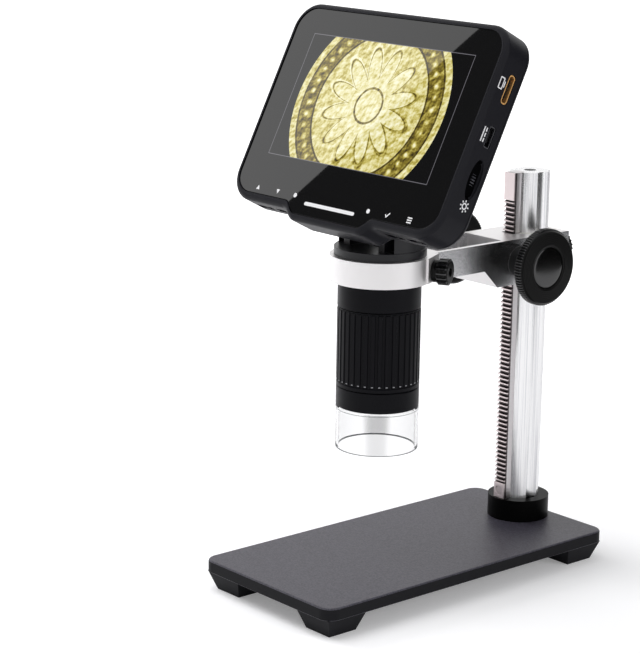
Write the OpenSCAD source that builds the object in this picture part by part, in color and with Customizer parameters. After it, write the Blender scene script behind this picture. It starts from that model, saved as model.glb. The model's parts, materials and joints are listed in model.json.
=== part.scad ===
// Desk microscope with a tilting screen: a base plate on four feet, a racked column,
// a focus carriage with a clamp ring, a camera head with a grip sleeve and a clear
// shroud, and a screen unit on a hinge. Millimetres, Z up, X to the user's right,
// the screen faces -Y. The origin is under the middle of the whole outline, on the floor.

/* [Base] */
// Width of the base plate, side to side
base_w = 80; // [74:1:110]
// Length of the base plate, front to back
base_l = 160; // [150:1:190]
// Thickness of the base plate
base_t = 5.2; // [4:0.2:8]
// Corner radius of the base plate
base_corner_r = 6; // [3:0.5:12]
// Height of the feet
foot_h = 8.2; // [6:0.2:14]
// Side of a foot where it meets the plate
foot_side = 20; // [16:1:26]
// Slant of each foot side over its height
foot_slant = 3; // [1:0.5:4]
// Distance from the plate edge to a foot
foot_inset = 1.5; // [0.5:0.5:5]
// Shank diameter of the foot screws
foot_screw_d = 3; // [2.5:0.5:4]

/* [Column] */
// Distance from the rear edge of the plate to the column axis
column_inset = 13.8; // [13.6:0.2:20]
// Radius of the column's round parts
column_r = 8.7; // [8:0.1:10]
// Length of the column above the base plate
column_l = 154.6; // [150:1:170]
// Width of the toothed rack
rack_w = 6; // [5:0.5:7]
// Distance from the column axis to the tooth tips
rack_reach = 12.4; // [12:0.1:14]
// Distance from one rack tooth to the next
tooth_pitch = 2; // [1.8:0.1:2.2]
// Plain length at the lower end of the rack
rack_plain_low = 7; // [6:0.5:14]
// Plain length at the upper end of the rack
rack_plain_high = 11; // [8:0.5:14]
// Outer radius of the black collar
collar_r = 13.4; // [12.4:0.1:13.4]
// Height of the collar
collar_h = 9.6; // [8:0.2:14]

/* [Carriage] */
// Height of the arm's top edge above the floor
arm_top_z = 141.9; // [120:0.1:150]
// Height of the carriage block
carriage_h = 19.5; // [18:0.5:24]
// Half of the width of the arm and carriage
arm_half_w = 12.5; // [12:0.1:15]
// Wall thickness of the arm
arm_wall = 2.2; // [1.6:0.1:3]
// Height of the arm walls
arm_h = 11.6; // [10:0.2:14]
// Distance from the column axis to the barrel axis
reach = 86.2; // [80:0.2:100]
// Height of the clamp ring
ring_h = 10.6; // [9:0.2:12]
// Wall thickness of the clamp ring
ring_wall = 3.55; // [3:0.05:5]
// Angle of the clamp screw behind the sideways direction
clamp_turn = 27; // [22:1:30]
// Teeth of the pinion
pinion_teeth = 18; // [17:1:20]
// Diameter of the pinion shaft
shaft_d = 5; // [4:0.2:6]
// Radius of the focus knobs
knob_r = 16.3; // [14:0.1:18]
// Thickness of a focus knob's rim
knob_t = 5.1; // [4:0.1:8]
// Distance from the middle plane to the back of a knob's rim
knob_back_x = 24.5; // [22:0.5:30]
// Radius of the glossy disc set in a knob
insert_r = 8.6; // [7:0.1:10]
// Radius of the rear lock knob
lock_r = 7.2; // [6:0.1:8]
// Length of the rear lock knob
lock_l = 7.5; // [6:0.5:10]
// Radius of the ring's clamp knob
clamp_r = 5.5; // [5:0.1:6.4]
// Length of the ring's clamp knob
clamp_l = 7; // [6:0.5:10]

/* [Head] */
// Radius of the camera barrel
barrel_r = 17.2; // [15:0.1:20]
// Height of the lower end of the clear shroud above the floor
shroud_z = 60.6; // [50:0.1:70]
// Visible length of the clear shroud
shroud_l = 18; // [14:0.5:20]
// Wall of the clear shroud
shroud_wall = 1.2; // [1:0.1:2]
// Height of the black ring over the shroud
nose_l = 8.4; // [7:0.2:10]
// Length of the fluted focus sleeve
sleeve_l = 33; // [28:0.5:33]
// Number of flutes round the sleeve
flutes = 36; // [24:1:40]
// Depth of a flute
flute_depth = 0.7; // [0.4:0.1:1]
// Wall of the focus sleeve
sleeve_wall = 2.3; // [2:0.1:3]
// Radius of the flange that rests on the ring
flange_r = 19; // [18.6:0.1:20]
// Thickness of the flange
flange_t = 3.35; // [2.5:0.05:5]
// Height of the open cup above the flange
cup_h = 8; // [4:0.5:9]
// Width of the front opening of the cup
cup_gap_w = 33.6; // [30:0.2:34]
// Number of lamps round the lens
lamps = 8; // [6:1:8]

/* [Screen] */
// Width of the screen housing
screen_w = 125; // [122:1:128]
// Height of the screen housing without its chin
screen_h = 88.1; // [87:0.1:92]
// Thickness of the housing's front shell behind the glass
shell_d = 12.4; // [12:0.1:14]
// Thickness of the rear cover
cover_t = 1.8; // [1.4:0.1:2.4]
// Height of the housing's rim in front of the glass
rim_h = 0.8; // [0.4:0.1:1.2]
// Corner radius of the housing
screen_corner_r = 12; // [10:0.5:14]
// Rounding of the housing's front edge
edge_r = 2.4; // [2:0.2:4]
// Wall of the housing
shell_wall = 2.2; // [1.8:0.1:2.6]
// Distance from the picture area to the housing's side
picture_side = 14.98; // [14:0.1:16]
// Height of the picture area
picture_h = 53.86; // [50:0.1:56]
// Distance from the picture's middle to the top of the housing
picture_drop = 40.3; // [39:0.1:42]
// Lean of the screen back from upright
screen_lean = 27; // [20:1:35]
// Height of the picture's middle above the hinge axis, along the screen
hinge_below = 34.6; // [32:0.2:36]
// Distance from the glass back to the hinge axis
hinge_behind = 23.5; // [23:0.1:26]
// Height of the hinge axis above the flange
hinge_rise = 16; // [15.5:0.1:20]
// Distance of the hinge axis in front of the barrel axis
hinge_front = 2.6; // [0:0.1:4]
// Depth of the chin below the housing
chin_d = 4.2; // [2:0.1:4.5]
// Width of the chin where it meets the housing
chin_w = 52; // [40:1:56]
// Travel of a key
key_travel = 0.6; // [0.3:0.1:0.8]
// Radius of the light wheel
wheel_r = 7.4; // [7:0.1:7.6]

/* [Clearances] */
// Radial gap of a turning or sliding fit
run_gap = 0.06; // [0.03:0.01:0.1]
// Gap between parts that are fixed together
fit_gap = 0.05; // [0.02:0.01:0.1]
// Gap between parts that pass each other
free_gap = 0.3; // [0.3:0.05:0.5]

/* [Hidden] */
$fn = 64;
eps = 0.01;

// heights
plate_z = foot_h;
stage_z = foot_h + base_t;
column_top_z = stage_z + column_l;
collar_top_z = stage_z + collar_h;
carriage_z = arm_top_z - carriage_h;
arm_z = arm_top_z - arm_h;
ring_z = arm_top_z - ring_h;
pinion_z = carriage_z + carriage_h / 2;
nose_z = shroud_z + shroud_l;
sleeve_z = nose_z + nose_l + free_gap;
sleeve_top_z = sleeve_z + sleeve_l;
flange_z = arm_top_z + fit_gap;
cup_z = flange_z + flange_t;

// the rear knob reaches past the plate, and the whole outline is centred on the origin
lock_boss = 1.5;
carriage_back = column_r + 3.8;
rear_over = max(0, carriage_back + lock_boss + lock_l - column_inset);
base_y = -rear_over / 2;
column_y = base_y + base_l / 2 - column_inset;
barrel_y = column_y - reach;

// rack and pinion
gear_m = tooth_pitch / PI;
addendum = 0.95 * gear_m;
dedendum = 1.2 * gear_m;
pressure = 20;
backlash = 0.06;
pitch_r = pinion_teeth * tooth_pitch / (2 * PI);
pinion_y = column_y - rack_reach + addendum - pitch_r;
rack_depth = rack_reach - 5.5;
rack_z = collar_top_z;
rack_l = column_top_z - rack_z;
teeth_z = rack_z + rack_plain_low;
teeth = floor((rack_l - rack_plain_low - rack_plain_high) / tooth_pitch);
shaft_r = shaft_d / 2;
bush_r = shaft_r + 2;
boss_r = bush_r + 2.2;
boss_x = arm_half_w + 4.2;
pinion_pocket_r = pitch_r + addendum + 0.6;
pinion_half_w = rack_w / 2 + 0.2;

// carriage guide
liner_r = column_r + 1.6;
liner_h = 4;
column_pass_r = column_r + free_gap;

// clamp ring
ring_bore_r = barrel_r + run_gap;
ring_r = ring_bore_r + ring_wall;
clamp_x = ring_r - 4;
clamp_y = barrel_y + ring_r - 6.7;
clamp_z = arm_top_z - ring_h / 2 - 0.8;
clamp_neck = 2.1;
clamp_screw_r = 1.5;
rack_screw_l = rack_reach - 3.2;

// bolt that holds the column down
bolt_head_r = 5;
bolt_head_h = 2.2;
bolt_r = 2.55;
bolt_l = base_t + 16;
bolt_recess = 2.6;

// camera head
tube_r = barrel_r - sleeve_wall;
tube_bore_r = tube_r - 1.6;
upper_bore_r = barrel_r - 2;
shelf_z = sleeve_top_z + 4;
nose_shoulder_z = nose_z + 3.5;
spigot_r = barrel_r - 1.4;
cell_r = tube_r - 0.4;
cell_t = 1.2;
cell_l = 14;
lens_r = 5.2;
lens_t = 4;
lamp_board_t = 1;
lamp_r = 1.4;
lamp_h = 1.3;
sensor_side = 9;
cup_wall = 2.6;
cup_r = flange_r - 0.4;

// hinge
hinge_y = barrel_y - hinge_front;
hinge_z = cup_z + hinge_rise;
knuckle_half_w = 8.4;
ear_t = 3.5;
ear_r = 6.5;
pin_r = 2;

// screen, in its own axes: x across, y up the screen, z out of the glass
screen_top = picture_drop;
screen_low = picture_drop - screen_h;
screen_mid = (screen_top + screen_low) / 2;
glass_margin = 2.2;
glass_t = 1;
glass_low = screen_low + 3.3;
glass_top = screen_top - glass_margin;
glass_w = screen_w - 2 * glass_margin;
glass_r = screen_corner_r - glass_margin;
tab_w = chin_w - 2;
tab_d = 4.8;
picture_w = screen_w - 2 * picture_side;
panel_w = picture_w + 7.96;
panel_h = picture_h + 12.14;
panel_t = 3.1;
panel_drop = 3.2;
board_t = 1.6;
board_z = -glass_t - panel_t - 0.4;
board_w = 2 * (screen_w / 2 - shell_wall - 1.8);
board_low = screen_low + shell_wall + 2.5;
board_top = screen_top - shell_wall - 6;
back_z = -shell_d;
post_x = screen_w / 2 - 5.9;
post_top = screen_top - 11.5;
post_low = screen_low + 11.5;
post_r = 2.3;
shell_screw_r = 1.1;
card_l = 14;
cell_w = 62;
cell_h = 42;
cell_d = 4.8;
cell_x = -screen_w / 2 + shell_wall + card_l + 3.3;
port_z = board_z - board_t;
hdmi_y = 17.5;
usb_y = -2.2;
card_y = 8;
wheel_y = -19.6;
wheel_t = 2.6;
wheel_z = port_z - 0.35;
wheel_x = screen_w / 2 - wheel_r - 0.5;
key_w = 8;
key_d = 2.8;
key_outer_x = screen_w / 2 - 17;
key_inner_x = screen_w / 2 - 29.5;
key_x = [-key_outer_x, -key_inner_x, key_inner_x, key_outer_x];
switch_w = 5;
switch_l = 4.6;
switch_h = 2.8;
key_z = port_z - 1.5;
key_out = 0.5;
key_flange_t = 1;
key_flange_over = 0.6;
key_lift = 0.6;
plate_back_z = back_z - cover_t;
hinge_plate_t = 1.5;
hinge_plate_w = 40;
hinge_plate_l = 20;

// ---- helpers ----

module rounded_rect(w, h, r) {
    corner_x = w / 2 - r;
    corner_y = h / 2 - r;
    square([w, h - 2 * r], center = true);
    square([w - 2 * r, h], center = true);
    for (x = [-corner_x, corner_x], y = [-corner_y, corner_y]) translate([x, y]) circle(r);
}

// a cylinder along X from x0 to x1
module x_cylinder(r, x0, x1) {
    translate([x0, 0, 0]) rotate([0, 90, 0]) cylinder(r = r, h = x1 - x0);
}

// a cylinder along Y from y0 to y1
module y_cylinder(r, y0, y1) {
    translate([0, y0, 0]) rotate([-90, 0, 0]) cylinder(r = r, h = y1 - y0);
}

// a straight-knurled disc along Z
module knurled_disc(r, h, ribs, depth) {
    linear_extrude(h) polygon([for (i = [0:2 * ribs - 1])
        let (a = 180 * i / ribs, rr = r - (i % 2) * depth) [rr * cos(a), rr * sin(a)]]);
}

module at_barrel() {
    translate([0, barrel_y, 0]) children();
}

module at_column() {
    translate([0, column_y, 0]) children();
}

module at_pinion() {
    translate([0, pinion_y, pinion_z]) children();
}

// the clamp screw's own axes: x out of its boss on the ring
module at_clamp() {
    translate([clamp_x, clamp_y, clamp_z]) rotate(clamp_turn) children();
}

module at_hinge() {
    translate([0, hinge_y, hinge_z]) children();
}

// places the screen's own axes: the hinge axis carries the picture's middle
module on_screen() {
    at_hinge() rotate([90 - screen_lean, 0, 0]) translate([0, hinge_below, hinge_behind]) children();
}

// ---- stand ----

module foot_places() {
    for (sx = [-1, 1], sy = [-1, 1])
        translate([sx * (base_w / 2 - foot_inset - foot_side / 2),
            base_y + sy * (base_l / 2 - foot_inset - foot_side / 2), 0]) children();
}

module base_plate() {
    color("#3c3b42") difference() {
        translate([0, base_y, plate_z]) linear_extrude(base_t)
            rounded_rect(base_w, base_l, base_corner_r);
        foot_places() translate([0, 0, plate_z - eps])
            cylinder(d = foot_screw_d - 0.4, h = base_t - 1.2);
        at_column() translate([0, 0, plate_z - eps]) cylinder(r = bolt_r + 0.65, h = base_t + 1);
        at_column() translate([0, 0, plate_z - eps])
            cylinder(r = bolt_head_r + 0.4, h = bolt_recess + 2 * eps);
    }
}

module foot() {
    low = foot_side - 2 * foot_slant;
    difference() {
        hull() {
            translate([-low / 2, -low / 2, 0]) cube([low, low, 0.1]);
            translate([-foot_side / 2, -foot_side / 2, foot_h - 0.1])
                cube([foot_side, foot_side, 0.1]);
        }
        translate([0, 0, -1]) cylinder(d = foot_screw_d + 0.2, h = foot_h + 2);
        translate([0, 0, -1]) cylinder(d = 2 * foot_screw_d + 0.2, h = foot_h / 2 + 1);
    }
}

module base_feet() {
    color("#1c1c1f") foot_places() foot();
}

module foot_screws() {
    color("#8f9196") foot_places() {
        translate([0, 0, foot_h / 2 - 2]) cylinder(d = 2 * foot_screw_d, h = 2);
        translate([0, 0, foot_h / 2 - eps])
            cylinder(d = foot_screw_d - 0.5, h = foot_h / 2 + base_t - 1.6);
    }
}

module column_collar() {
    color("#17171a") at_column() difference() {
        translate([0, 0, stage_z]) cylinder(r = collar_r, h = collar_h);
        translate([0, 0, stage_z - 1]) cylinder(r = column_r + fit_gap, h = collar_h + 2);
        translate([0, 0, stage_z + collar_h / 2]) y_cylinder(2, column_r - 1, collar_r + 1);
    }
}

module collar_screw() {
    color("#8f9196") at_column() translate([0, 0, stage_z + collar_h / 2]) difference() {
        y_cylinder(1.95, column_r + fit_gap, collar_r - 0.6);
        y_cylinder(1, collar_r - 2.2, collar_r);
    }
}

// round bar with two wide hollows, two thin grooves, a front slot and a core hole
module column_section() {
    difference() {
        circle(column_r);
        translate([-rack_w / 2 - fit_gap, -column_r - 1]) square([rack_w + 2 * fit_gap, column_r - 4.5]);
        for (s = [-1, 1]) translate([s * (column_r + 4.6), -0.8]) circle(6);
        for (a = [38, 142]) rotate(a) translate([column_r - 0.9, -0.5]) square([2, 1]);
        circle(bolt_r + fit_gap);
    }
}

module column() {
    color("#d9dadc") at_column() difference() {
        translate([0, 0, stage_z]) linear_extrude(column_l) column_section();
        translate([0, 0, rack_z]) rack_screw_places() y_cylinder(1, -5.6, -3);
    }
}

module column_bolt() {
    color("#8f9196") at_column() translate([0, 0, plate_z + bolt_recess - bolt_head_h]) difference() {
        union() {
            cylinder(r = bolt_head_r, h = bolt_head_h);
            translate([0, 0, bolt_head_h - eps]) cylinder(r = bolt_r, h = bolt_l);
        }
        translate([0, 0, -eps]) cylinder(r = 0.4 * bolt_head_r, h = bolt_head_h - 0.8, $fn = 6);
    }
}

// one side of the rack: flank points of every tooth, from the lowest to the highest
function rack_points() = [for (i = [0:teeth - 1], k = [0:3])
    let (mid = rack_plain_low + (i + 0.5) * tooth_pitch,
        tip_half = tooth_pitch / 4 - backlash / 2 - addendum * tan(pressure),
        root_half = tooth_pitch / 4 - backlash / 2 + dedendum * tan(pressure),
        side = k < 2 ? -1 : 1,
        tip = k == 1 || k == 2)
    [tip ? -rack_reach : -rack_reach + addendum + dedendum,
        mid + side * (tip ? tip_half : root_half)]];

module rack_screw_places() {
    for (z = [rack_plain_low / 2, rack_l - rack_plain_high / 2]) translate([0, 0, z]) children();
}

module rack() {
    back = -rack_reach + rack_depth;
    color("#c9cacd") at_column() translate([0, 0, rack_z]) difference() {
        translate([-rack_w / 2, 0, 0]) rotate([90, 0, 90]) linear_extrude(rack_w)
            polygon(concat([[back, 0], [-rack_reach, 0]],
                [[-rack_reach, rack_plain_low - 0.1]], rack_points(),
                [[-rack_reach, rack_plain_low + teeth * tooth_pitch + 0.1],
                    [-rack_reach, rack_l], [back, rack_l]]));
        rack_screw_places() y_cylinder(1.1, -rack_reach - 1, 0);
        rack_screw_places() y_cylinder(2, -rack_reach - 1, -rack_reach + 1.5);
    }
}

module rack_screws() {
    color("#8f9196") at_column() translate([0, 0, rack_z]) rack_screw_places() {
        y_cylinder(1.9, -rack_reach + 0.2, -rack_reach + 1.5);
        y_cylinder(0.95, -rack_reach + 1.5 - eps, -rack_reach + rack_screw_l);
    }
}

// ---- carriage ----

// outline of the arm and ring seen from above
module arm_outline() {
    at_barrel() circle(ring_r);
    translate([-arm_half_w, barrel_y + 10]) square([2 * arm_half_w, column_y - barrel_y - 10]);
    translate([clamp_x, clamp_y]) rotate(clamp_turn) translate([-6.5, -6.2]) square([6.5, 12.4]);
}

module arm_bracket() {
    front_y = pinion_y - pinion_pocket_r - 2.6;
    pocket_y = barrel_y + ring_r + 1.6;
    slant_y = front_y - 3.3;
    pocket_end = front_y + 0.4;
    rib_y = pocket_end - 4.6;
    color("#c4c5c9") difference() {
        union() {
            translate([0, 0, ring_z]) linear_extrude(ring_h) arm_outline();
            translate([-arm_half_w, pocket_y - 1, arm_z])
                cube([2 * arm_half_w, front_y - pocket_y + 2, arm_h]);
            // carriage block with a slanted underside
            translate([-arm_half_w, 0, 0]) rotate([90, 0, 90]) linear_extrude(2 * arm_half_w)
                polygon([[slant_y - carriage_h + arm_h, arm_z], [slant_y, carriage_z],
                    [column_y + carriage_back, carriage_z], [column_y + carriage_back, arm_top_z],
                    [slant_y - carriage_h + arm_h, arm_top_z]]);
            at_pinion() x_cylinder(boss_r, -boss_x, boss_x);
            translate([0, column_y, pinion_z])
                y_cylinder(5, carriage_back - 1, carriage_back + lock_boss);
        }
        // pocket of the arm, with an upright rib left on its far wall
        difference() {
            translate([-arm_half_w + arm_wall, pocket_y, arm_z + 1.6])
                cube([2 * (arm_half_w - arm_wall), pocket_end - pocket_y, arm_h]);
            translate([-arm_half_w, rib_y - 1, arm_z])
                cube([arm_wall + 1.4, 2, arm_h + 2]);
        }
        // bore of the ring and the threaded hole through its boss
        at_barrel() translate([0, 0, ring_z - 2]) cylinder(r = ring_bore_r, h = ring_h + 4);
        at_clamp() x_cylinder(clamp_screw_r, -7, 1);
        // passage for the column, liner seats and rack
        at_column() translate([0, 0, carriage_z - 1]) cylinder(r = column_pass_r, h = carriage_h + 2);
        for (z = [carriage_z - 1, arm_top_z - liner_h]) at_column() translate([0, 0, z])
            cylinder(r = liner_r, h = liner_h + 1);
        translate([-rack_w / 2 - 0.4, column_y - rack_reach - 0.5, carriage_z - 1])
            cube([rack_w + 0.8, rack_reach, carriage_h + 2]);
        // pinion pocket and shaft bores
        at_pinion() x_cylinder(pinion_pocket_r, -pinion_half_w - 0.3, pinion_half_w + 0.3);
        at_pinion() x_cylinder(bush_r + fit_gap, -boss_x - 1, boss_x + 1);
        // threaded hole of the lock screw
        translate([0, column_y, pinion_z]) y_cylinder(2.05, column_r, carriage_back + 4);
    }
}

module guide_liner() {
    difference() {
        cylinder(r = liner_r - fit_gap, h = liner_h);
        translate([0, 0, -1]) cylinder(r = column_r + run_gap, h = liner_h + 2);
        translate([-rack_w / 2 - 0.4, -liner_r - 1, -1]) cube([rack_w + 0.8, liner_r, liner_h + 2]);
    }
}

module guide_liners() {
    color("#e8e6df") for (z = [carriage_z, arm_top_z - liner_h])
        at_column() translate([0, 0, z]) guide_liner();
}

module shaft_bushes() {
    color("#b08d4a") at_pinion() for (s = [0, 1]) mirror([s, 0, 0]) difference() {
        x_cylinder(bush_r, pinion_half_w + 0.35, boss_x);
        x_cylinder(shaft_r + run_gap, 0, boss_x + 1);
    }
}

// a point on a tooth flank: radius r, tooth at angle mid, side -1 or 1
function involute_angle(r) = let (base_r = pitch_r * cos(pressure), a = acos(min(1, base_r / r)))
    (tan(a) * 180 / PI - a);
function flank_half(r) = 90 / pinion_teeth - backlash / pitch_r * 90 / PI
    + involute_angle(pitch_r) - involute_angle(max(r, pitch_r * cos(pressure)));
flank_radii = [pitch_r - dedendum, pitch_r * cos(pressure) + 0.05, pitch_r, pitch_r + addendum / 2,
    pitch_r + addendum];
function gear_points() = [for (i = [0:pinion_teeth - 1], s = [-1, 1], k = [0:4])
    let (r = flank_radii[s < 0 ? k : 4 - k], a = 360 * i / pinion_teeth + s * flank_half(r))
    [r * cos(a), r * sin(a)]];

module pinion_shaft() {
    // a tooth points into a gap of the rack at the pinion's height
    phase = (pinion_z - teeth_z) / pitch_r * 180 / PI;
    color("#9a9ca1") at_pinion() {
        rotate([-phase, 0, 0]) translate([-pinion_half_w, 0, 0]) rotate([90, 0, 90])
            linear_extrude(2 * pinion_half_w) polygon(gear_points());
        x_cylinder(shaft_r, -knob_back_x - knob_t + 1.4, knob_back_x + knob_t - 1.4);
    }
}

// focus knob on the +X side, seen from the pinion
module focus_knob() {
    neck_r = 6.2;
    difference() {
        union() {
            x_cylinder(neck_r, boss_x + free_gap, knob_back_x + 1);
            translate([knob_back_x, 0, 0]) rotate([0, 90, 0])
                knurled_disc(knob_r, knob_t - 0.8, 72, 0.45);
            translate([knob_back_x + knob_t - 0.8, 0, 0]) rotate([0, 90, 0])
                cylinder(r1 = knob_r - 0.5, r2 = knob_r - 1.3, h = 0.8);
        }
        x_cylinder(shaft_r + fit_gap, 0, knob_back_x + knob_t - 1.3);
        x_cylinder(insert_r + fit_gap, knob_back_x + knob_t - 1.3, knob_back_x + knob_t + 1);
    }
}

module knob_right() {
    color("#141416") at_pinion() focus_knob();
}

module knob_left() {
    color("#141416") at_pinion() mirror([1, 0, 0]) focus_knob();
}

module knob_insert() {
    x_cylinder(insert_r, knob_back_x + knob_t - 1.3, knob_back_x + knob_t - 0.1);
}

module knob_insert_right() {
    color("#2a2a2c") at_pinion() knob_insert();
}

module knob_insert_left() {
    color("#2a2a2c") at_pinion() mirror([1, 0, 0]) knob_insert();
}

module lock_knob() {
    start = carriage_back + lock_boss + free_gap;
    color("#141416") translate([0, column_y, pinion_z]) difference() {
        translate([0, start, 0]) rotate([-90, 0, 0]) knurled_disc(lock_r, lock_l - free_gap, 24, 0.5);
        y_cylinder(2 + fit_gap, start - 1, start + lock_l - 2);
    }
}

module lock_screw() {
    color("#8f9196") translate([0, column_y, pinion_z])
        y_cylinder(2, column_r + free_gap, carriage_back + lock_boss + lock_l - 2);
}

module clamp_knob() {
    color("#141416") at_clamp() difference() {
        union() {
            x_cylinder(clamp_r - 0.9, free_gap, free_gap + clamp_neck + eps);
            translate([free_gap + clamp_neck, 0, 0]) rotate([0, 90, 0])
                knurled_disc(clamp_r, clamp_l - clamp_neck, 16, 0.5);
        }
        x_cylinder(clamp_screw_r + fit_gap, 0, free_gap + clamp_l + 1);
        x_cylinder(1.8, free_gap + clamp_l - 2, free_gap + clamp_l + 1);
    }
}

module clamp_screw() {
    color("#8f9196") at_clamp()
        x_cylinder(clamp_screw_r - 0.12, -3.8, free_gap + clamp_l - 2.2);
}

// ---- camera head ----

module barrel_tube() {
    lower_z = nose_shoulder_z;
    color("#1f1f22") at_barrel() difference() {
        union() {
            translate([0, 0, sleeve_top_z + free_gap])
                cylinder(r = barrel_r, h = flange_z - sleeve_top_z - free_gap);
            translate([0, 0, lower_z]) cylinder(r = tube_r, h = sleeve_top_z - lower_z + 1);
        }
        translate([0, 0, lower_z - 1]) cylinder(r = tube_bore_r, h = flange_z - lower_z);
        translate([0, 0, shelf_z]) cylinder(r = upper_bore_r, h = flange_z - shelf_z + 1);
    }
}

module focus_sleeve() {
    end_l = 1.6;
    groove_w = PI * barrel_r / flutes;
    color("#19191b") at_barrel() translate([0, 0, sleeve_z]) difference() {
        cylinder(r = barrel_r, h = sleeve_l);
        translate([0, 0, -1]) cylinder(r = tube_r + run_gap, h = sleeve_l + 2);
        for (i = [0:flutes - 1]) rotate(360 * i / flutes)
            translate([barrel_r - flute_depth, -groove_w / 2, end_l])
                cube([2, groove_w, sleeve_l - 2 * end_l]);
    }
}

module nose_ring() {
    color("#19191b") at_barrel() translate([0, 0, nose_z]) difference() {
        cylinder(r = barrel_r, h = nose_l);
        translate([0, 0, -1]) cylinder(r = spigot_r + fit_gap, h = nose_shoulder_z - nose_z + 1);
        translate([0, 0, 1]) cylinder(r = tube_r + fit_gap, h = nose_l);
    }
}

module shroud() {
    color("#e6eef0", 0.35) at_barrel() translate([0, 0, shroud_z]) difference() {
        union() {
            cylinder(r = barrel_r, h = shroud_l);
            cylinder(r = spigot_r, h = shroud_l + nose_shoulder_z - nose_z);
        }
        translate([0, 0, -1]) cylinder(r = barrel_r - shroud_wall, h = shroud_l - 1);
        translate([0, 0, -1]) cylinder(r = spigot_r - shroud_wall, h = shroud_l + 10);
    }
}

module lens_cell() {
    color("#101012") at_barrel() translate([0, 0, nose_shoulder_z]) difference() {
        union() {
            translate([0, 0, -cell_t]) cylinder(r = cell_r - 0.6, h = cell_t);
            translate([0, 0, -eps]) cylinder(r = lens_r + 2, h = cell_l);
        }
        translate([0, 0, -cell_t - 1]) cylinder(r = lens_r + fit_gap, h = cell_l + cell_t + 2);
    }
}

module objective_lens() {
    bow = 0.9;
    ball_r = (lens_r * lens_r + bow * bow) / (2 * bow);
    color("#bcd4dc", 0.6) at_barrel() translate([0, 0, nose_shoulder_z + 3]) intersection() {
        cylinder(r = lens_r, h = lens_t);
        translate([0, 0, ball_r]) sphere(ball_r, $fn = 96);
        translate([0, 0, lens_t - ball_r]) sphere(ball_r, $fn = 96);
    }
}

module lamp_board() {
    color("#e9ece6") at_barrel() translate([0, 0, nose_shoulder_z - cell_t - lamp_board_t])
        difference() {
            cylinder(r = spigot_r - shroud_wall - fit_gap - 0.2, h = lamp_board_t);
            translate([0, 0, -1]) cylinder(r = lens_r + 0.6, h = 4);
        }
}

module lamp_leds() {
    color("#fff6cf") at_barrel()
        translate([0, 0, nose_shoulder_z - cell_t - lamp_board_t - lamp_h])
            for (i = [0:lamps - 1]) rotate(360 * (i + 0.5) / lamps) translate([10, 0, 0])
                cylinder(r = lamp_r, h = lamp_h);
}

module sensor_board() {
    color("#2f6b3f") at_barrel() translate([0, 0, shelf_z])
        cylinder(r = upper_bore_r - fit_gap, h = 1.4);
}

module image_sensor() {
    color("#44484c") at_barrel()
        translate([-sensor_side / 2, -sensor_side / 2, shelf_z - 1.6])
            cube([sensor_side, sensor_side, 1.6]);
}

module head_cup() {
    ear_x = knuckle_half_w + free_gap;
    color("#151517") difference() {
        union() {
            at_barrel() translate([0, 0, flange_z]) cylinder(r = flange_r, h = flange_t);
            at_barrel() translate([0, 0, flange_z - 5])
                cylinder(r = upper_bore_r - fit_gap, h = 5 + eps);
            at_barrel() translate([0, 0, cup_z - eps]) difference() {
                cylinder(r = cup_r, h = cup_h);
                translate([0, 0, -1]) cylinder(r = cup_r - cup_wall, h = cup_h + 2);
                translate([-cup_gap_w / 2, -cup_r - 1, -1]) cube([cup_gap_w, cup_r + 1, cup_h + 2]);
            }
            for (s = [0, 1]) mirror([s, 0, 0]) {
                translate([ear_x, hinge_y - ear_r, cup_z - eps])
                    cube([ear_t, 2 * ear_r, hinge_rise]);
                at_hinge() x_cylinder(ear_r, ear_x, ear_x + ear_t);
            }
        }
        at_hinge() x_cylinder(pin_r + 0.02, -ear_x - ear_t - 1, ear_x + ear_t + 1);
        at_barrel() translate([0, 0, flange_z - 6]) cylinder(r = 3, h = flange_t + 8);
    }
}

module hinge_pin() {
    reach_x = knuckle_half_w + free_gap + ear_t;
    color("#9a9ca1") at_hinge() {
        x_cylinder(pin_r, -reach_x, reach_x);
        x_cylinder(pin_r + 1.2, reach_x, reach_x + 1);
    }
}

// ---- screen ----

// place of the hinge axis in the screen's own axes
module on_hinge_axis() {
    translate([0, -hinge_below, -hinge_behind]) children();
}

module hinge_screw_places() {
    for (x = [-1, 1], y = [-1, 1])
        translate([x * (hinge_plate_w / 2 - 4), -hinge_below + y * (hinge_plate_l / 2 - 3),
            plate_back_z]) children();
}

module hinge_knuckle() {
    color("#1a1a1c") on_screen() difference() {
        union() {
            on_hinge_axis() x_cylinder(ear_r, -knuckle_half_w, knuckle_half_w);
            translate([-knuckle_half_w, -hinge_below - ear_r, -hinge_behind])
                cube([2 * knuckle_half_w, 2 * ear_r, hinge_behind + plate_back_z]);
            translate([-hinge_plate_w / 2, -hinge_below - hinge_plate_l / 2,
                plate_back_z - hinge_plate_t])
                cube([hinge_plate_w, hinge_plate_l, hinge_plate_t]);
        }
        on_hinge_axis() x_cylinder(pin_r + run_gap, -knuckle_half_w - 1, knuckle_half_w + 1);
        hinge_screw_places() translate([0, 0, -3]) cylinder(r = 1.1, h = 4);
    }
}

module hinge_screws() {
    color("#8f9196") on_screen() hinge_screw_places() {
        translate([0, 0, -hinge_plate_t - 0.8]) cylinder(r = 1.8, h = 0.8);
        translate([0, 0, -hinge_plate_t - eps]) cylinder(r = 0.95, h = hinge_plate_t + cover_t);
    }
}

// rounded block of the housing with a rounded front edge
module housing_block(front, back, edge) {
    x = screen_w / 2 - screen_corner_r;
    y = screen_h / 2 - screen_corner_r;
    translate([0, screen_mid, 0]) hull() for (sx = [-x, x], sy = [-y, y])
        translate([sx, sy, back]) rotate_extrude($fn = 32)
            polygon(concat([[0, 0], [screen_corner_r, 0]],
                [for (a = [0:22.5:90]) [screen_corner_r - edge + edge * cos(a),
                    front - back - edge + edge * sin(a)]], [[0, front - back]]));
}

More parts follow.
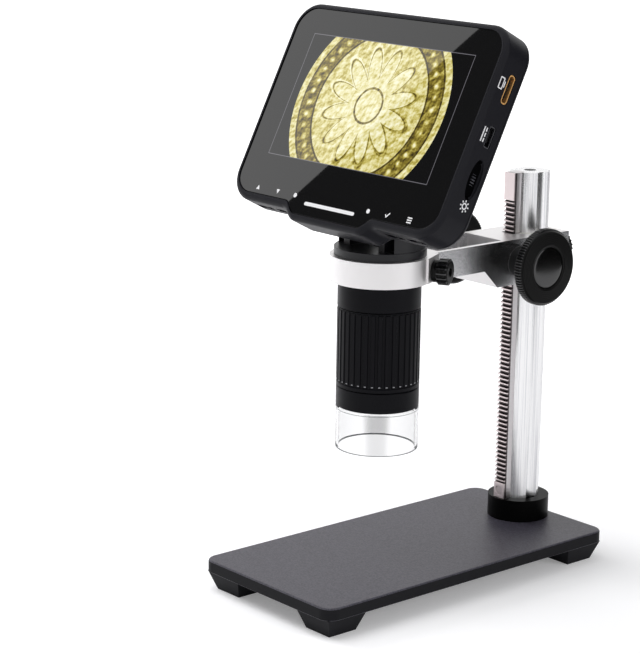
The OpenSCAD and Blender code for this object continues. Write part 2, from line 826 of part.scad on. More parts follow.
module glass_outline(grow) {
    translate([0, (glass_top + glass_low) / 2])
        rounded_rect(glass_w + 2 * grow, glass_top - glass_low + 2 * grow, glass_r + grow);
    polygon([[tab_w / 2 + grow, glass_low + 9], [-tab_w / 2 - grow, glass_low + 9],
        [-tab_w / 2 - grow, glass_low], [-tab_w / 2 + 4 - grow, glass_low - tab_d - grow],
        [tab_w / 2 - 4 + grow, glass_low - tab_d - grow], [tab_w / 2 + grow, glass_low]]);
}

module chin_outline() {
    polygon([[chin_w / 2, screen_low + 9], [-chin_w / 2, screen_low + 9],
        [-chin_w / 2, screen_low], [-chin_w / 2 + 5, screen_low - chin_d],
        [chin_w / 2 - 5, screen_low - chin_d], [chin_w / 2, screen_low]]);
}

module post_places() {
    for (x = [-post_x, post_x], y = [post_low, post_top]) translate([x, y, 0]) children();
}

// an opening through the right wall, with round ends
module side_port(y, z, w, h, r) {
    translate([screen_w / 2 - shell_wall - 1, y, z]) rotate([90, 0, 90])
        linear_extrude(shell_wall + 2) rounded_rect(w, h, r);
}

module front_shell() {
    inner_w = screen_w - 2 * shell_wall;
    inner_h = screen_h - 2 * shell_wall;
    recess_r = 11;
    color("#212126") on_screen() difference() {
        union() {
            difference() {
                union() {
                    housing_block(rim_h, back_z, edge_r);
                    translate([0, 0, back_z]) linear_extrude(shell_d - 0.6) chin_outline();
                }
                translate([0, 0, -glass_t]) linear_extrude(5) glass_outline(0.15);
                translate([0, screen_mid, back_z - 1]) linear_extrude(shell_d + 1 - glass_t - 1.5)
                    rounded_rect(inner_w, inner_h, screen_corner_r - shell_wall);
                translate([-panel_w / 2 - 0.3, -panel_drop - panel_h / 2 - 0.3, back_z])
                    cube([panel_w + 0.6, panel_h + 0.6, shell_d + 1]);
            }
            post_places() translate([0, 0, board_z]) cylinder(r = post_r, h = -glass_t - board_z - 1);
        }
        post_places() translate([0, 0, board_z - 1])
            cylinder(r = shell_screw_r - 0.05, h = -glass_t - board_z);
        side_port(hdmi_y, port_z - 1.6, 12, 3.8, 1);
        side_port(usb_y, port_z - 1.35, 8.8, 3.4, 0.8);
        translate([-screen_w / 2 - 1, card_y - 6.2, port_z - 1.5]) cube([shell_wall + 2, 12.4, 1.5]);
        // scooped recess over the light wheel
        translate([screen_w / 2 + recess_r - 2.6, wheel_y, wheel_z - wheel_t / 2])
            rotate([90, 0, 0]) translate([0, 0, -7.6]) cylinder(r = recess_r - 7, h = 15.2);
        translate([screen_w / 2 - shell_wall - 1, wheel_y - 7.6, wheel_z - wheel_t - free_gap])
            cube([shell_wall + 2, 15.2, wheel_t + 2 * free_gap]);
        for (x = key_x) translate([x - key_w / 2 - free_gap, screen_low - 1, key_z - key_d / 2 - free_gap])
            cube([key_w + 2 * free_gap, shell_wall + 2, key_d + 2 * free_gap]);
    }
}

module rear_cover() {
    color("#1d1d21") on_screen() difference() {
        union() {
            mirror([0, 0, 1]) housing_block(-plate_back_z, -back_z, 1.5);
            translate([0, 0, plate_back_z]) linear_extrude(cover_t) chin_outline();
            post_places() translate([0, 0, back_z - eps])
                cylinder(r = post_r, h = port_z - back_z + eps);
        }
        post_places() translate([0, 0, plate_back_z - 1]) cylinder(r = shell_screw_r + 0.1, h = 20);
        post_places() translate([0, 0, plate_back_z - 1]) cylinder(r = 2, h = 2.2);
        hinge_screw_places() translate([0, 0, -1]) cylinder(r = 1, h = cover_t + 2);
    }
}

module shell_screws() {
    color("#3a3a3d") on_screen() post_places() {
        translate([0, 0, plate_back_z + 0.2]) cylinder(r = 1.9, h = 1);
        translate([0, 0, plate_back_z + 1]) cylinder(r = shell_screw_r - 0.1, h = 11);
    }
}

module cover_glass() {
    color("#0d0d0f") on_screen() translate([0, 0, -glass_t]) linear_extrude(glass_t) glass_outline(0);
}

module lcd_panel() {
    color("#5d6166") on_screen()
        translate([-panel_w / 2, -panel_drop - panel_h / 2, -glass_t - panel_t])
            cube([panel_w, panel_h, panel_t]);
}

module main_board() {
    color("#245c38") on_screen() difference() {
        translate([-board_w / 2, board_low, board_z - board_t])
            cube([board_w, board_top - board_low, board_t]);
        post_places() translate([0, 0, board_z - board_t - 1]) cylinder(r = shell_screw_r + 0.1, h = 4);
        // corners cut to clear the housing's round corners
        for (x = [-1, 1], y = [board_low, board_top]) translate([x * board_w / 2, y, board_z - 3])
            rotate(45) translate([-5, -5, 0]) cube([10, 10, 5]);
    }
}

module battery() {
    color("#6d7480") on_screen() translate([cell_x, -cell_h / 2 - 2, back_z])
        cube([cell_w, cell_h, cell_d]);
}

// a metal socket on the board's back, open to +X
module socket(y, w, h, depth, wall) {
    translate([screen_w / 2 - 0.6 - depth, y - w / 2, port_z - h]) difference() {
        cube([depth, w, h]);
        translate([1.5, wall, wall]) cube([depth, w - 2 * wall, h - 2 * wall]);
    }
    translate([screen_w / 2 - 0.6 - depth + 1, y - w / 2 + 1.6, port_z - h / 2 - 0.3])
        cube([depth - 2.4, w - 3.2, 0.6]);
}

module hdmi_socket() {
    color("#c99a4b") on_screen() socket(hdmi_y, 11.2, 3.2, 7.5, 0.35);
}

module usb_socket() {
    color("#a9acb1") on_screen() socket(usb_y, 8, 2.7, 5.5, 0.3);
}

module card_slot() {
    color("#a9acb1") on_screen() translate([-screen_w / 2 + shell_wall, card_y - card_l / 2, port_z - 1.9])
        difference() {
            cube([card_l, card_l, 1.9]);
            translate([-1, 1.4, 0.4]) cube([card_l - 1, card_l - 2.8, 1.1]);
        }
}

module key_switches() {
    key_seat_y = screen_low + shell_wall + key_lift + key_flange_t + key_travel + 0.1;
    color("#b9bcc0") on_screen() for (x = key_x)
        translate([x - switch_w / 2, key_seat_y, port_z - switch_h])
            cube([switch_w, switch_l, switch_h]);
}

module key_cap(x) {
    translate([x - key_w / 2, screen_low - key_out, key_z - key_d / 2])
        cube([key_w, shell_wall + key_out + key_lift + eps, key_d]);
    translate([x - key_w / 2 - key_flange_over, screen_low + shell_wall + key_lift, key_z - key_d / 2])
        cube([key_w + 2 * key_flange_over, key_flange_t, key_d]);
}

module key_up() {
    color("#0f0f11") on_screen() key_cap(key_x[0]);
}

module key_down() {
    color("#0f0f11") on_screen() key_cap(key_x[1]);
}

module key_ok() {
    color("#0f0f11") on_screen() key_cap(key_x[2]);
}

module key_menu() {
    color("#0f0f11") on_screen() key_cap(key_x[3]);
}

module light_wheel() {
    color("#26262a") on_screen() translate([wheel_x, wheel_y, wheel_z - wheel_t]) difference() {
        knurled_disc(wheel_r, wheel_t, 40, 0.3);
        translate([0, 0, -1]) cylinder(r = 1.5 + run_gap, h = wheel_t + 2);
    }
}

module wheel_post() {
    color("#b9bcc0") on_screen() translate([wheel_x, wheel_y, port_z]) {
        translate([0, 0, -wheel_t - 0.7]) cylinder(r = 1.5, h = wheel_t + 0.7);
        translate([0, 0, -wheel_t - 1.3]) cylinder(r = 2.4, h = 0.6 + eps);
    }
}

base_plate();
base_feet();
foot_screws();
column_collar();
collar_screw();
column();
column_bolt();
rack();
rack_screws();
arm_bracket();
guide_liners();
shaft_bushes();
pinion_shaft();
knob_right();
knob_left();
knob_insert_right();
knob_insert_left();
lock_knob();
lock_screw();
clamp_knob();
clamp_screw();
barrel_tube();
focus_sleeve();
nose_ring();
shroud();
lens_cell();
objective_lens();
lamp_board();
lamp_leds();
sensor_board();
image_sensor();
head_cup();
hinge_pin();
hinge_knuckle();
hinge_screws();
front_shell();
rear_cover();
shell_screws();
cover_glass();
lcd_panel();
main_board();
battery();
hdmi_socket();
usb_socket();
card_slot();
key_switches();
key_up();
key_down();
key_ok();
key_menu();
light_wheel();
wheel_post();
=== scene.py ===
"""Looks of a desk microscope with a tilting screen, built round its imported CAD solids.

The file is laid out as an add-on: sizes and colours sit in property groups, each group of
pieces has its own operator, and main() runs them in order.
"""

import json
from math import cos, pi, radians, sin, tan

import bmesh
import bpy
from bpy.props import FloatProperty, IntProperty, StringProperty
from mathutils import Matrix, Vector


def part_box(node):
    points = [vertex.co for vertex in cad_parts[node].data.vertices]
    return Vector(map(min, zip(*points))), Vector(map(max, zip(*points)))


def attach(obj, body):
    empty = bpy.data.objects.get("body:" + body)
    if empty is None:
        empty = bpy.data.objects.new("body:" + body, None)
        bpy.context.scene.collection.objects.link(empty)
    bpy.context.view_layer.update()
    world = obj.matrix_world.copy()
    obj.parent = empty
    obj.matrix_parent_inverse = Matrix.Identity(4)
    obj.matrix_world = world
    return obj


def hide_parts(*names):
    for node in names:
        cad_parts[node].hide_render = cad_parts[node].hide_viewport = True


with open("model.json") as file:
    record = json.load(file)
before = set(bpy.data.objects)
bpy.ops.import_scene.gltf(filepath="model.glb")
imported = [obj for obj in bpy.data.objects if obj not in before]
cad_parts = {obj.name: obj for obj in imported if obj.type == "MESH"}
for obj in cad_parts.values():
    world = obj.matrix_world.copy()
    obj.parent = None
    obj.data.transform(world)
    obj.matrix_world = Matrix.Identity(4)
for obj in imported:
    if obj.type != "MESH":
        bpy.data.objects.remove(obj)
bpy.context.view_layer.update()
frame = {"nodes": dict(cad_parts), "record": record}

bl_info = {
    "name": "Desk microscope",
    "version": (1, 0, 0),
    "blender": (4, 5, 0),
    "location": "View3D > Sidebar > Microscope",
    "description": "Builds the pieces of a desk microscope with a tilting screen",
    "category": "Object",
}

MM = 0.001

# read off the photograph by a least-squares fit: degrees, pixels (of the longer side), metres
CAMERA_ANGLES = (49.031, 13.527, 0.859)
CAMERA_PLACE = (0.6515, -0.6215, 0.3234)
FOCAL_PIXELS = 2214.6
PHOTO_PIXELS = 654
SENSOR = 36.0

# places and lengths in millimetres that follow part.scad; from VIDEO to WHEEL they are middles
# (y, z) in the screen's own axes
HINGE = (0.0, -26.45, 161.3)
HINGE_TO_PICTURE = (0.0, 34.6, 23.5)
CLAMP_FACE = (16.81, -9.74, 135.8)
CLAMP_ANGLE = 27
SCREEN_BACK = -14.2
SHELL_BACK = -12.4
RIM_FRONT = 0.8
GLASS_FRONT = 0.35
RACK_REACH = 12.68
RACK_PLAIN = 12.0
VIDEO = (17.5, -7.7)
POWER = (-2.2, -7.45)
CARD = (8.0, -6.1)
WHEEL = (-19.6, -7.75)
KEY_Z = -7.6
KEY_X = (-45.5, -33.0, 33.0, 45.5)

# forms that only this file has: the lamp mark's middle, and the hollow's half sizes
LAMP_MARK = (-30.3, -7.7)
HOLLOW = (3.0, 8.4, 3.3)


# ---- sizes and colours ----


class ScreenSizes(bpy.types.PropertyGroup):
    """Sizes of the screen unit, in millimetres and degrees"""

    width: FloatProperty(name="Width", description="Housing width", default=125.0, min=122.0)
    top: FloatProperty(
        name="Top", description="Housing top above the middle of the picture", default=40.3)
    low: FloatProperty(
        name="Bottom", description="Housing bottom from the middle of the picture", default=-47.8)
    corner: FloatProperty(
        name="Corner", description="Corner radius of the housing", default=12.0, min=8.0)
    fillet: FloatProperty(
        name="Fillet", description="Rounding of the front edge", default=2.2, min=1.0)
    rim: FloatProperty(name="Rim", description="Width of the rim round the glass", default=2.2)
    picture_width: FloatProperty(
        name="Picture width", description="Lit area, side to side", default=95.04)
    picture_height: FloatProperty(
        name="Picture height", description="Lit area, top to bottom", default=53.86)
    lean: FloatProperty(
        name="Lean", description="Lean back from upright", default=radians(27.0),
        subtype="ANGLE")


class GripSizes(bpy.types.PropertyGroup):
    """Numbers of what repeats round the grips"""

    flutes: IntProperty(name="Flutes", description="Ribs round the focus sleeve", default=36)
    knob_ribs: IntProperty(name="Knob ribs", description="Ribs round a focus knob", default=84)
    clamp_ribs: IntProperty(
        name="Clamp knob ribs", description="Ribs round the clamp knob", default=16)
    lock_ribs: IntProperty(
        name="Lock knob ribs", description="Ribs round the rear lock knob", default=24)
    wheel_ribs: IntProperty(
        name="Wheel ribs", description="Ribs round the light wheel", default=40)


class FinishColours(bpy.types.PropertyGroup):
    """Colours of the finishes, as sRGB hex values"""

    coat: StringProperty(name="Powder coat", description="Base plate", default="46444e")
    housing: StringProperty(
        name="Moulded ABS", description="Screen housing", default="17171c")
    barrel: StringProperty(
        name="Barrel", description="Camera barrel and grips", default="0b0b0f")
    glass: StringProperty(
        name="Glass", description="Printed border under the cover glass", default="0c0c0d")
    silver: StringProperty(name="Aluminium", description="Column", default="ffffff")
    knob: StringProperty(name="Anodised black", description="Knobs", default="050505")
    print_white: StringProperty(name="Print", description="White marks", default="e8e8ea")


# ---- nodes and colours ----


def linear(hex_text):
    """Linear colour of an sRGB hex value"""
    channels = [int(hex_text[i:i + 2], 16) / 255 for i in (0, 2, 4)]
    return tuple(
        c / 12.92 if c <= 0.04045 else ((c + 0.055) / 1.055) ** 2.4 for c in channels) + (1.0,)


def add_node(tree, kind, links=None, **settings):
    """Adds a node; links maps an input's name or number to a value or another node's output"""
    made = tree.nodes.new(kind)
    for name, value in settings.items():
        setattr(made, name, value)
    for key, value in (links or {}).items():
        if isinstance(value, bpy.types.NodeSocket):
            tree.links.new(value, made.inputs[key])
        else:
            made.inputs[key].default_value = value
    return made


def new_material(name, colour, roughness, metallic=0.0, **inputs):
    """A Principled material; inputs are the shader's own sockets by name"""
    made = bpy.data.materials.new(name)
    made.use_nodes = True
    shader = made.node_tree.nodes["Principled BSDF"]
    shader.inputs["Base Color"].default_value = linear(colour)
    shader.inputs["Roughness"].default_value = roughness
    shader.inputs["Metallic"].default_value = metallic
    for key, value in inputs.items():
        shader.inputs[key.replace("_", " ")].default_value = value
    made.diffuse_color = linear(colour)
    return made


def mapped(tree, scale=(1.0, 1.0, 1.0)):
    """Object coordinates, scaled"""
    place = add_node(tree, "ShaderNodeTexCoord")
    return add_node(
        tree, "ShaderNodeMapping", {"Vector": place.outputs["Object"], "Scale": scale}
    ).outputs["Vector"]


def feed(material, name, output):
    """Links a node's output to one of the shader's sockets"""
    tree = material.node_tree
    tree.links.new(output, tree.nodes["Principled BSDF"].inputs[name])


def add_bump(material, height, strength, distance):
    """Drives the shader's normal from a height output; the distance is in metres"""
    bump = add_node(
        material.node_tree, "ShaderNodeBump",
        {"Height": height, "Strength": strength, "Distance": distance})
    feed(material, "Normal", bump.outputs["Normal"])


def ramp(tree, value, stops):
    """A colour ramp from (position, hex) stops"""
    made = add_node(tree, "ShaderNodeValToRGB", {"Fac": value})
    points = made.color_ramp.elements
    while len(points) < len(stops):
        points.new(0.5)
    for point, (place, colour) in zip(points, stops):
        point.position = place
        point.color = linear(colour)
    return made.outputs["Color"]


# ---- finishes ----


def grained(material, scale, detail, stops=None, bump=None, stretch=(1.0, 1.0, 1.0)):
    """Gives a material a fine noise that shades it, lifts it by (strength, metres), or both"""
    tree = material.node_tree
    grain = add_node(
        tree, "ShaderNodeTexNoise",
        {"Vector": mapped(tree, stretch), "Scale": scale, "Detail": detail}).outputs["Fac"]
    if bump:
        add_bump(material, grain, *bump)
    if stops:
        feed(material, "Base Color", ramp(tree, grain, stops))
    return material


def powder_coat(colours):
    """Black polyester powder coat, baked: a soft sheen broken by a fine, even grain"""
    # the real grain is about 0.2 mm; it is drawn at 0.6 mm so that it shows
    return grained(
        new_material("powder_coat_black", colours.coat, 0.42, Specular_IOR_Level=0.42),
        1600.0, 1.5, [(0.36, "2d2b33"), (0.64, colours.coat)], (0.55, 0.00012))


def moulded_abs(name, colour, roughness=0.4, shine=0.14):
    """Moulded ABS, spark-eroded mould: satin black with a very fine grain"""
    return grained(
        new_material(name, colour, roughness, Specular_IOR_Level=shine),
        2600.0, 1.0, bump=(0.12, 0.00006))


def plain_black(name, colour, roughness, shine):
    """Gloss or satin black with no grain that shows"""
    return new_material(name, colour, roughness, Specular_IOR_Level=shine)


def turned_black(colours):
    """Black anodised aluminium, turned: near black, with faint rings from the lathe tool"""
    made = new_material(
        "aluminium_anodised_black_turned", colours.knob, 0.28, Specular_IOR_Level=0.1)
    tree = made.node_tree
    middle = middle_of("pinion_shaft") * MM
    centred = add_node(
        tree, "ShaderNodeMapping",
        {"Vector": add_node(tree, "ShaderNodeTexCoord").outputs["Object"],
         "Location": (0.0, -middle.y, -middle.z)})
    # tool marks are about 0.1 mm apart; they are drawn 0.8 mm apart so that they show
    rings = add_node(
        tree, "ShaderNodeTexWave",
        {"Vector": centred.outputs[0], "Scale": 393.0, "Distortion": 0.6, "Detail": 2.0},
        wave_type="RINGS", rings_direction="X").outputs["Fac"]
    feed(made, "Base Color", ramp(tree, rings, [(0.2, colours.knob), (0.95, "191919")]))
    add_bump(made, rings, 0.35, 0.0001)
    return made


def extruded_aluminium(colours):
    """Clear anodised 6063 aluminium, extruded: fine die lines run along the column"""
    # die lines about 0.3 mm wide and tens of millimetres long
    return grained(
        new_material("aluminium_extruded", colours.silver, 0.26, 1.0), 1.0, 3.0,
        [(0.3, "d6d6da"), (0.55, colours.silver)], (0.12, 0.00005), (3200.0, 3200.0, 16.0))


def cast_aluminium():
    """Bead-blasted, clear anodised aluminium: bright satin with a fine sparkle"""
    # blasting dimples of about 0.2 mm, drawn at 0.4 mm so that they show
    return grained(
        new_material("aluminium_bead_blasted", "f0eeee", 0.34, 0.85), 2600.0, 1.5,
        bump=(0.2, 0.0001))


def milled_aluminium():
    """Milled flank of the casting: smoother than the rest, with open pores that read as specks"""
    return grained(
        new_material("aluminium_milled", "d8d8da", 0.27, 1.0), 2600.0, 1.5,
        [(0.36, "b2b2b5"), (0.52, "eeeef0")])


def milled_steel():
    """Milled steel rack: bright tips, a slight pink tint that paints a reflection, and painted
    shade darkening the roots
    """
    made = new_material("steel_milled_painted_shade", "ccc6c6", 0.3, 1.0)
    tree = made.node_tree
    place = add_node(tree, "ShaderNodeSeparateXYZ", {
        0: add_node(tree, "ShaderNodeTexCoord").outputs["Object"]})
    # the colour goes by the depth behind the tips, which stand at the front: painted shade darkens
    # the roots, and the rack's sides further back are light again
    front = middle_of("column").y - RACK_REACH
    depth = add_node(
        tree, "ShaderNodeMapRange",
        {"Value": place.outputs["Y"], "From Min": (front + 0.1) * MM,
         "From Max": (front + 1.7) * MM})
    feed(made, "Base Color", ramp(tree, depth.outputs[0], [
        (0.0, "ecdfdf"), (0.2, "bcb4b5"), (0.42, "655c5d"), (0.82, "524c4d"), (0.9, "d2cecf")]))
    return made


def clear_acrylic():
    """Turned and polished clear acrylic: see-through in front, greyer where the wall is long"""
    made = new_material("acrylic_clear", "ffffff", 0.02, Transmission_Weight=1.0, IOR=1.1)
    tree = made.node_tree
    facing = add_node(tree, "ShaderNodeLayerWeight", {"Blend": 0.5}).outputs["Facing"]
    tint = ramp(tree, facing, [
        (0.0, "d0d0d0"), (0.05, "dadada"), (0.09, "f6f6f6"), (0.7, "eeeeee"), (0.88, "bcbebf"),
        (0.97, "7c8082")])
    feed(made, "Base Color", tint)
    # where the wall is seen edge-on, light from its long way through leaves it grey
    through = add_node(
        tree, "ShaderNodeMapRange",
        {"Value": facing, "From Min": 0.84, "From Max": 0.97, "To Min": 1.0, "To Max": 0.3})
    feed(made, "Transmission Weight", through.outputs[0])
    return made


def ground_acrylic():
    """Ground end of the acrylic tube: the cut edge gathers light and reads pale grey"""
    return new_material("acrylic_ground_edge", "8e9193", 0.45)


# ---- mesh helpers, in millimetres ----


def rounded_corners(corners, steps=6):
    """An outline with arcs in place of its corners, which are (x, y, radius)"""
    outline = []
    for i, (x, y, radius) in enumerate(corners):
        here = Vector((x, y))
        if radius <= 0:
            outline.append(here)
            continue
        before = (Vector(corners[i - 1][:2]) - here).normalized()
        after = (Vector(corners[(i + 1) % len(corners)][:2]) - here).normalized()
        half = before.angle(after) / 2
        centre = here + (before + after).normalized() * (radius / sin(half))
        start = here + before * (radius / tan(half)) - centre
        end = here + after * (radius / tan(half)) - centre
        sweep = pi - 2 * half
        for k in range(steps + 1):
            t = k / steps
            arm = start * sin((1 - t) * sweep) + end * sin(t * sweep)
            outline.append(centre + arm / sin(sweep))
    return outline


def inset(outline, distance):
    """A counter-clockwise outline moved inwards"""
    moved = []
    for i, here in enumerate(outline):
        one = (here - outline[i - 1]).normalized()
        two = (outline[(i + 1) % len(outline)] - here).normalized()
        left_one = Vector((-one.y, one.x))
        left_two = Vector((-two.y, two.x))
        reach = max(1 + left_one.dot(left_two), 0.3)
        moved.append(here + (left_one + left_two) * (distance / reach))
    return moved


def circle(radius, height, segments):
    """Points of a circle about Z, or one point at the axis"""
    if radius < 1e-6:
        return [(0.0, 0.0, height)]
    return [
        (radius * cos(a), radius * sin(a), height)
        for a in (2 * pi * i / segments for i in range(segments))]


def add_rings(shape, rings, place=Matrix(), loop=False):
    """Skins rings of points; a ring of one point is a pole, and open ends get caps"""
    made = [[shape.verts.new(place @ Vector(p)) for p in ring] for ring in rings]
    pairs = list(zip(made, made[1:]))
    if loop:
        pairs.append((made[-1], made[0]))
    for low, high in pairs:
        count = max(len(low), len(high))
        for i in range(count):
            j = (i + 1) % count
            if len(low) == 1:
                shape.faces.new((low[0], high[j], high[i]))
            elif len(high) == 1:
                shape.faces.new((low[i], low[j], high[0]))
            else:
                shape.faces.new((low[i], low[j], high[j], high[i]))
    if not loop:
        for ring in (made[0], made[-1]):
            if len(ring) > 2:
                shape.faces.new(ring)


def add_lathe(shape, corners, place=Matrix(), segments=128, steps=4):
    """Turns (radius, height, rounding) corners about Z, from axis to axis or as a closed ring"""
    outline = rounded_corners(corners, steps)
    add_rings(
        shape, [circle(r, z, segments) for r, z in outline], place, loop=outline[0].x > 1e-6)


def at_height(outline, z):
    """Points of an outline at one height"""
    return [(x, y, z) for x, y in outline]


def add_slab(
        shape, outline, low, high, low_edge=0.0, high_edge=0.0, place=Matrix(), steps=4):
    """An outline given thickness, with rounded lower and upper edges"""
    turns = [pi / 2 * k / steps for k in range(steps + 1)]
    levels = [(low_edge * (1 - sin(t)), low + low_edge * (1 - cos(t))) for t in turns]
    levels += [
        (high_edge * (1 - cos(t)), high - high_edge * (1 - sin(t))) for t in turns]
    add_rings(shape, [at_height(inset(outline, away), z) for away, z in levels], place)


def add_frame(shape, outline, width, low, high):
    """A closed band that follows an outline on its inside"""
    inner = inset(outline, width)
    add_rings(shape, [
        at_height(line, z)
        for line, z in ((outline, low), (outline, high), (inner, high), (inner, low))], loop=True)


def add_rib(shape, low, high, base, tip, start, end, slope=0.3):
    """A bar along Z with a trapezoid section between two radii, sloped at both ends"""
    add_rings(shape, [
        [(low, -base / 2, z), (reach, -tip / 2, z), (reach, tip / 2, z), (low, base / 2, z)]
        for z, reach in (
            (start, low + 0.05), (start + slope, high), (end - slope, high), (end, low + 0.05))])


def rectangle(width, height, radius, middle=(0.0, 0.0), steps=8):
    """Outline of a rounded rectangle"""
    x, y = width / 2, height / 2
    return [
        p + Vector(middle) for p in rounded_corners(
            [(x, -y, radius), (x, y, radius), (-x, y, radius), (-x, -y, radius)], steps)]


def turned(axis, y, z):
    """Placement that stands a shape's Z along an axis letter, through (0, y, z)"""
    angle, about = {"x": (90, "Y"), "-x": (-90, "Y"), "y": (-90, "X")}[axis]
    return Matrix.Translation((0, y, z)) @ Matrix.Rotation(radians(angle), 4, about)


# ---- objects ----


SMOOTH = 32.0
BODY_OF = {
    name: body
    for body, names in frame["record"]["behaviour"]["bodies"].items() for name in names}


def node_box(name):
    """Lowest and highest corner of a CAD node, in millimetres"""
    low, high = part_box(name)
    return low / MM, high / MM


def middle_of(name):
    """Middle of a CAD node's box, in millimetres"""
    low, high = node_box(name)
    return (low + high) / 2


def paint(material, *names):
    """Gives CAD nodes their finish"""
    for name in names:
        mesh = frame["nodes"][name].data
        mesh.materials.clear()
        mesh.materials.append(material)


def mesh_of(shape, name):
    """A plain mesh of a shape, which is used up"""
    mesh = bpy.data.meshes.new(name)
    shape.to_mesh(mesh)
    shape.free()
    return mesh


def linked(name, data):
    """A new object in the scene"""
    made = bpy.data.objects.new(name, data)
    bpy.context.scene.collection.objects.link(made)
    return made


def evaluated(holder):
    """The mesh that an object's modifiers leave"""
    graph = bpy.context.evaluated_depsgraph_get()
    return bpy.data.meshes.new_from_object(holder.evaluated_get(graph))


def finish_piece(name, shape, material, body, replaced=(), place=Matrix()):
    """Makes a shape in millimetres a piece that rides on its body"""
    bmesh.ops.transform(shape, matrix=Matrix.Scale(MM, 4) @ place, verts=shape.verts)
    bmesh.ops.remove_doubles(shape, verts=shape.verts, dist=1e-7)
    bmesh.ops.recalc_face_normals(shape, faces=shape.faces)
    return settle(name, mesh_of(shape, name), material, body, replaced)


def weighed(mesh, smooth=SMOOTH, edge=0.0):
    """The mesh with its edges broken and its normals led by the large faces"""
    mesh.shade_smooth()
    mesh.set_sharp_from_angle(angle=radians(smooth))
    holder = linked(mesh.name, mesh)
    if edge:
        bevel = holder.modifiers.new("Edges", "BEVEL")
        bevel.width = edge * MM
        bevel.segments = 2
        bevel.limit_method = "ANGLE"
        bevel.angle_limit = radians(smooth)
        bevel.use_clamp_overlap = True
    lead = holder.modifiers.new("Normals", "WEIGHTED_NORMAL")
    lead.weight = 100
    lead.keep_sharp = True
    made = evaluated(holder)
    bpy.data.objects.remove(holder)
    return made


def settle(name, mesh, material, body, replaced=(), smooth=SMOOTH, edge=0.0):
    """Links a mesh that is in place, shades it and lets it ride on its body"""
    if material is not None:
        mesh.materials.clear()
        mesh.materials.append(material)
    piece = linked(name, weighed(mesh, smooth, edge))
    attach(piece, body)
    if replaced:
        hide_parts(*replaced)
    return piece


def bevelled_copy(name, material, width):
    """A finer copy of a CAD node with its edges broken, which stands for the node"""
    shape = bmesh.new()
    shape.from_mesh(frame["nodes"][name].data)
    bmesh.ops.remove_doubles(shape, verts=shape.verts, dist=2e-7)
    bmesh.ops.dissolve_limit(
        shape, angle_limit=radians(0.4), verts=shape.verts, edges=shape.edges)
    title = name + "_finished"
    return settle(title, mesh_of(shape, title), material, BODY_OF[name], (name,), edge=width)


def second_finish(piece, material, chosen):
    """Gives another finish to the faces that a test on middle (in mm) and normal picks"""
    piece.data.materials.append(material)
    slot = len(piece.data.materials) - 1
    for face in piece.data.polygons:
        if chosen(face.center / MM, face.normal):
            face.material_index = slot


def repeat_tree():
    """Node tree that repeats a small shape round the Z axis"""
    tree = bpy.data.node_groups.get("repeat_shape")
    if tree:
        return tree
    tree = bpy.data.node_groups.new("repeat_shape", "GeometryNodeTree")
    for label, kind in (
            ("Shape", "NodeSocketGeometry"), ("Count", "NodeSocketInt"),
            ("Turn", "NodeSocketFloat"), ("Finish", "NodeSocketMaterial")):
        tree.interface.new_socket(label, in_out="INPUT", socket_type=kind)
    tree.interface.new_socket("Shapes", in_out="OUTPUT", socket_type="NodeSocketGeometry")
    given = add_node(tree, "NodeGroupInput").outputs
    index = add_node(tree, "GeometryNodeInputIndex").outputs["Index"]
    angle = add_node(tree, "ShaderNodeMath", {0: index, 1: given["Turn"]}, operation="MULTIPLY")
    turn = add_node(tree, "ShaderNodeCombineXYZ", {"Z": angle.outputs[0]})
    points = add_node(tree, "GeometryNodePoints", {"Count": given["Count"]})
    spread = add_node(
        tree, "GeometryNodeInstanceOnPoints",
        {"Points": points.outputs[0], "Instance": given["Shape"], "Rotation": turn.outputs[0]})
    solid = add_node(tree, "GeometryNodeRealizeInstances", {"Geometry": spread.outputs[0]})
    coated = add_node(
        tree, "GeometryNodeSetMaterial",
        {"Geometry": solid.outputs[0], "Material": given["Finish"]})
    add_node(tree, "NodeGroupOutput", {"Shapes": coated.outputs[0]})
    return tree


def repeated(name, shape, material, body, place, count, smooth=20.0):
    """Repeats a small shape by the node tree and settles the result as one plain mesh"""
    bmesh.ops.recalc_face_normals(shape, faces=shape.faces)
    holder = linked(name + "_holder", mesh_of(shape, name + "_unit"))
    repeat = holder.modifiers.new("Repeat", "NODES")
    repeat.node_group = repeat_tree()
    values = {"Count": count, "Turn": 2 * pi / count, "Finish": material}
    for socket in repeat.node_group.interface.items_tree:
        if socket.name in values:
            repeat[socket.identifier] = values[socket.name]
    mesh = evaluated(holder)
    bpy.data.objects.remove(holder)
    mesh.transform(Matrix.Scale(MM, 4) @ place)
    return settle(name, mesh, None, body, smooth=smooth)


# ---- knobs ----


def clamp_place():
    """Placement with Z out along the clamp screw, from the face of its boss"""
    return (
        Matrix.Translation(CLAMP_FACE) @ Matrix.Rotation(radians(CLAMP_ANGLE), 4, "Z")
        @ Matrix.Rotation(pi / 2, 4, "Y"))


def turned_piece(name, corners, material, replaced, place, segments=128, steps=3):
    """Makes a piece on the lathe, in place of one CAD node"""
    shape = bmesh.new()
    add_lathe(shape, corners, place, segments, steps)
    return finish_piece(name, shape, material, BODY_OF[replaced], (replaced,))


def focus_knob(side, grips, place, material, knurled):
    """A large focus knob: hub, disc with a stepped face, and a knurled rim"""
    turned_piece("focus_knob_" + side, [
        (0, 17, 0), (6.2, 17, 0.3), (6.2, 24.5, 0), (15.2, 24.5, 0.3), (15.75, 25.0, 0.2),
        (15.75, 28.3, 0.2), (15.1, 29.35, 0.3), (9.6, 29.6, 0), (9.2, 29.3, 0), (8.7, 29.3, 0.1),
        (8.7, 28.3, 0), (0, 28.3, 0)], material, "knob_" + side, place)
    shape = bmesh.new()
    add_rib(shape, 15.6, 16.3, 0.86, 0.4, 24.9, 28.5, 0.45)
    repeated(
        "focus_knob_ribs_" + side, shape, knurled, "pinion", place, grips.knob_ribs)


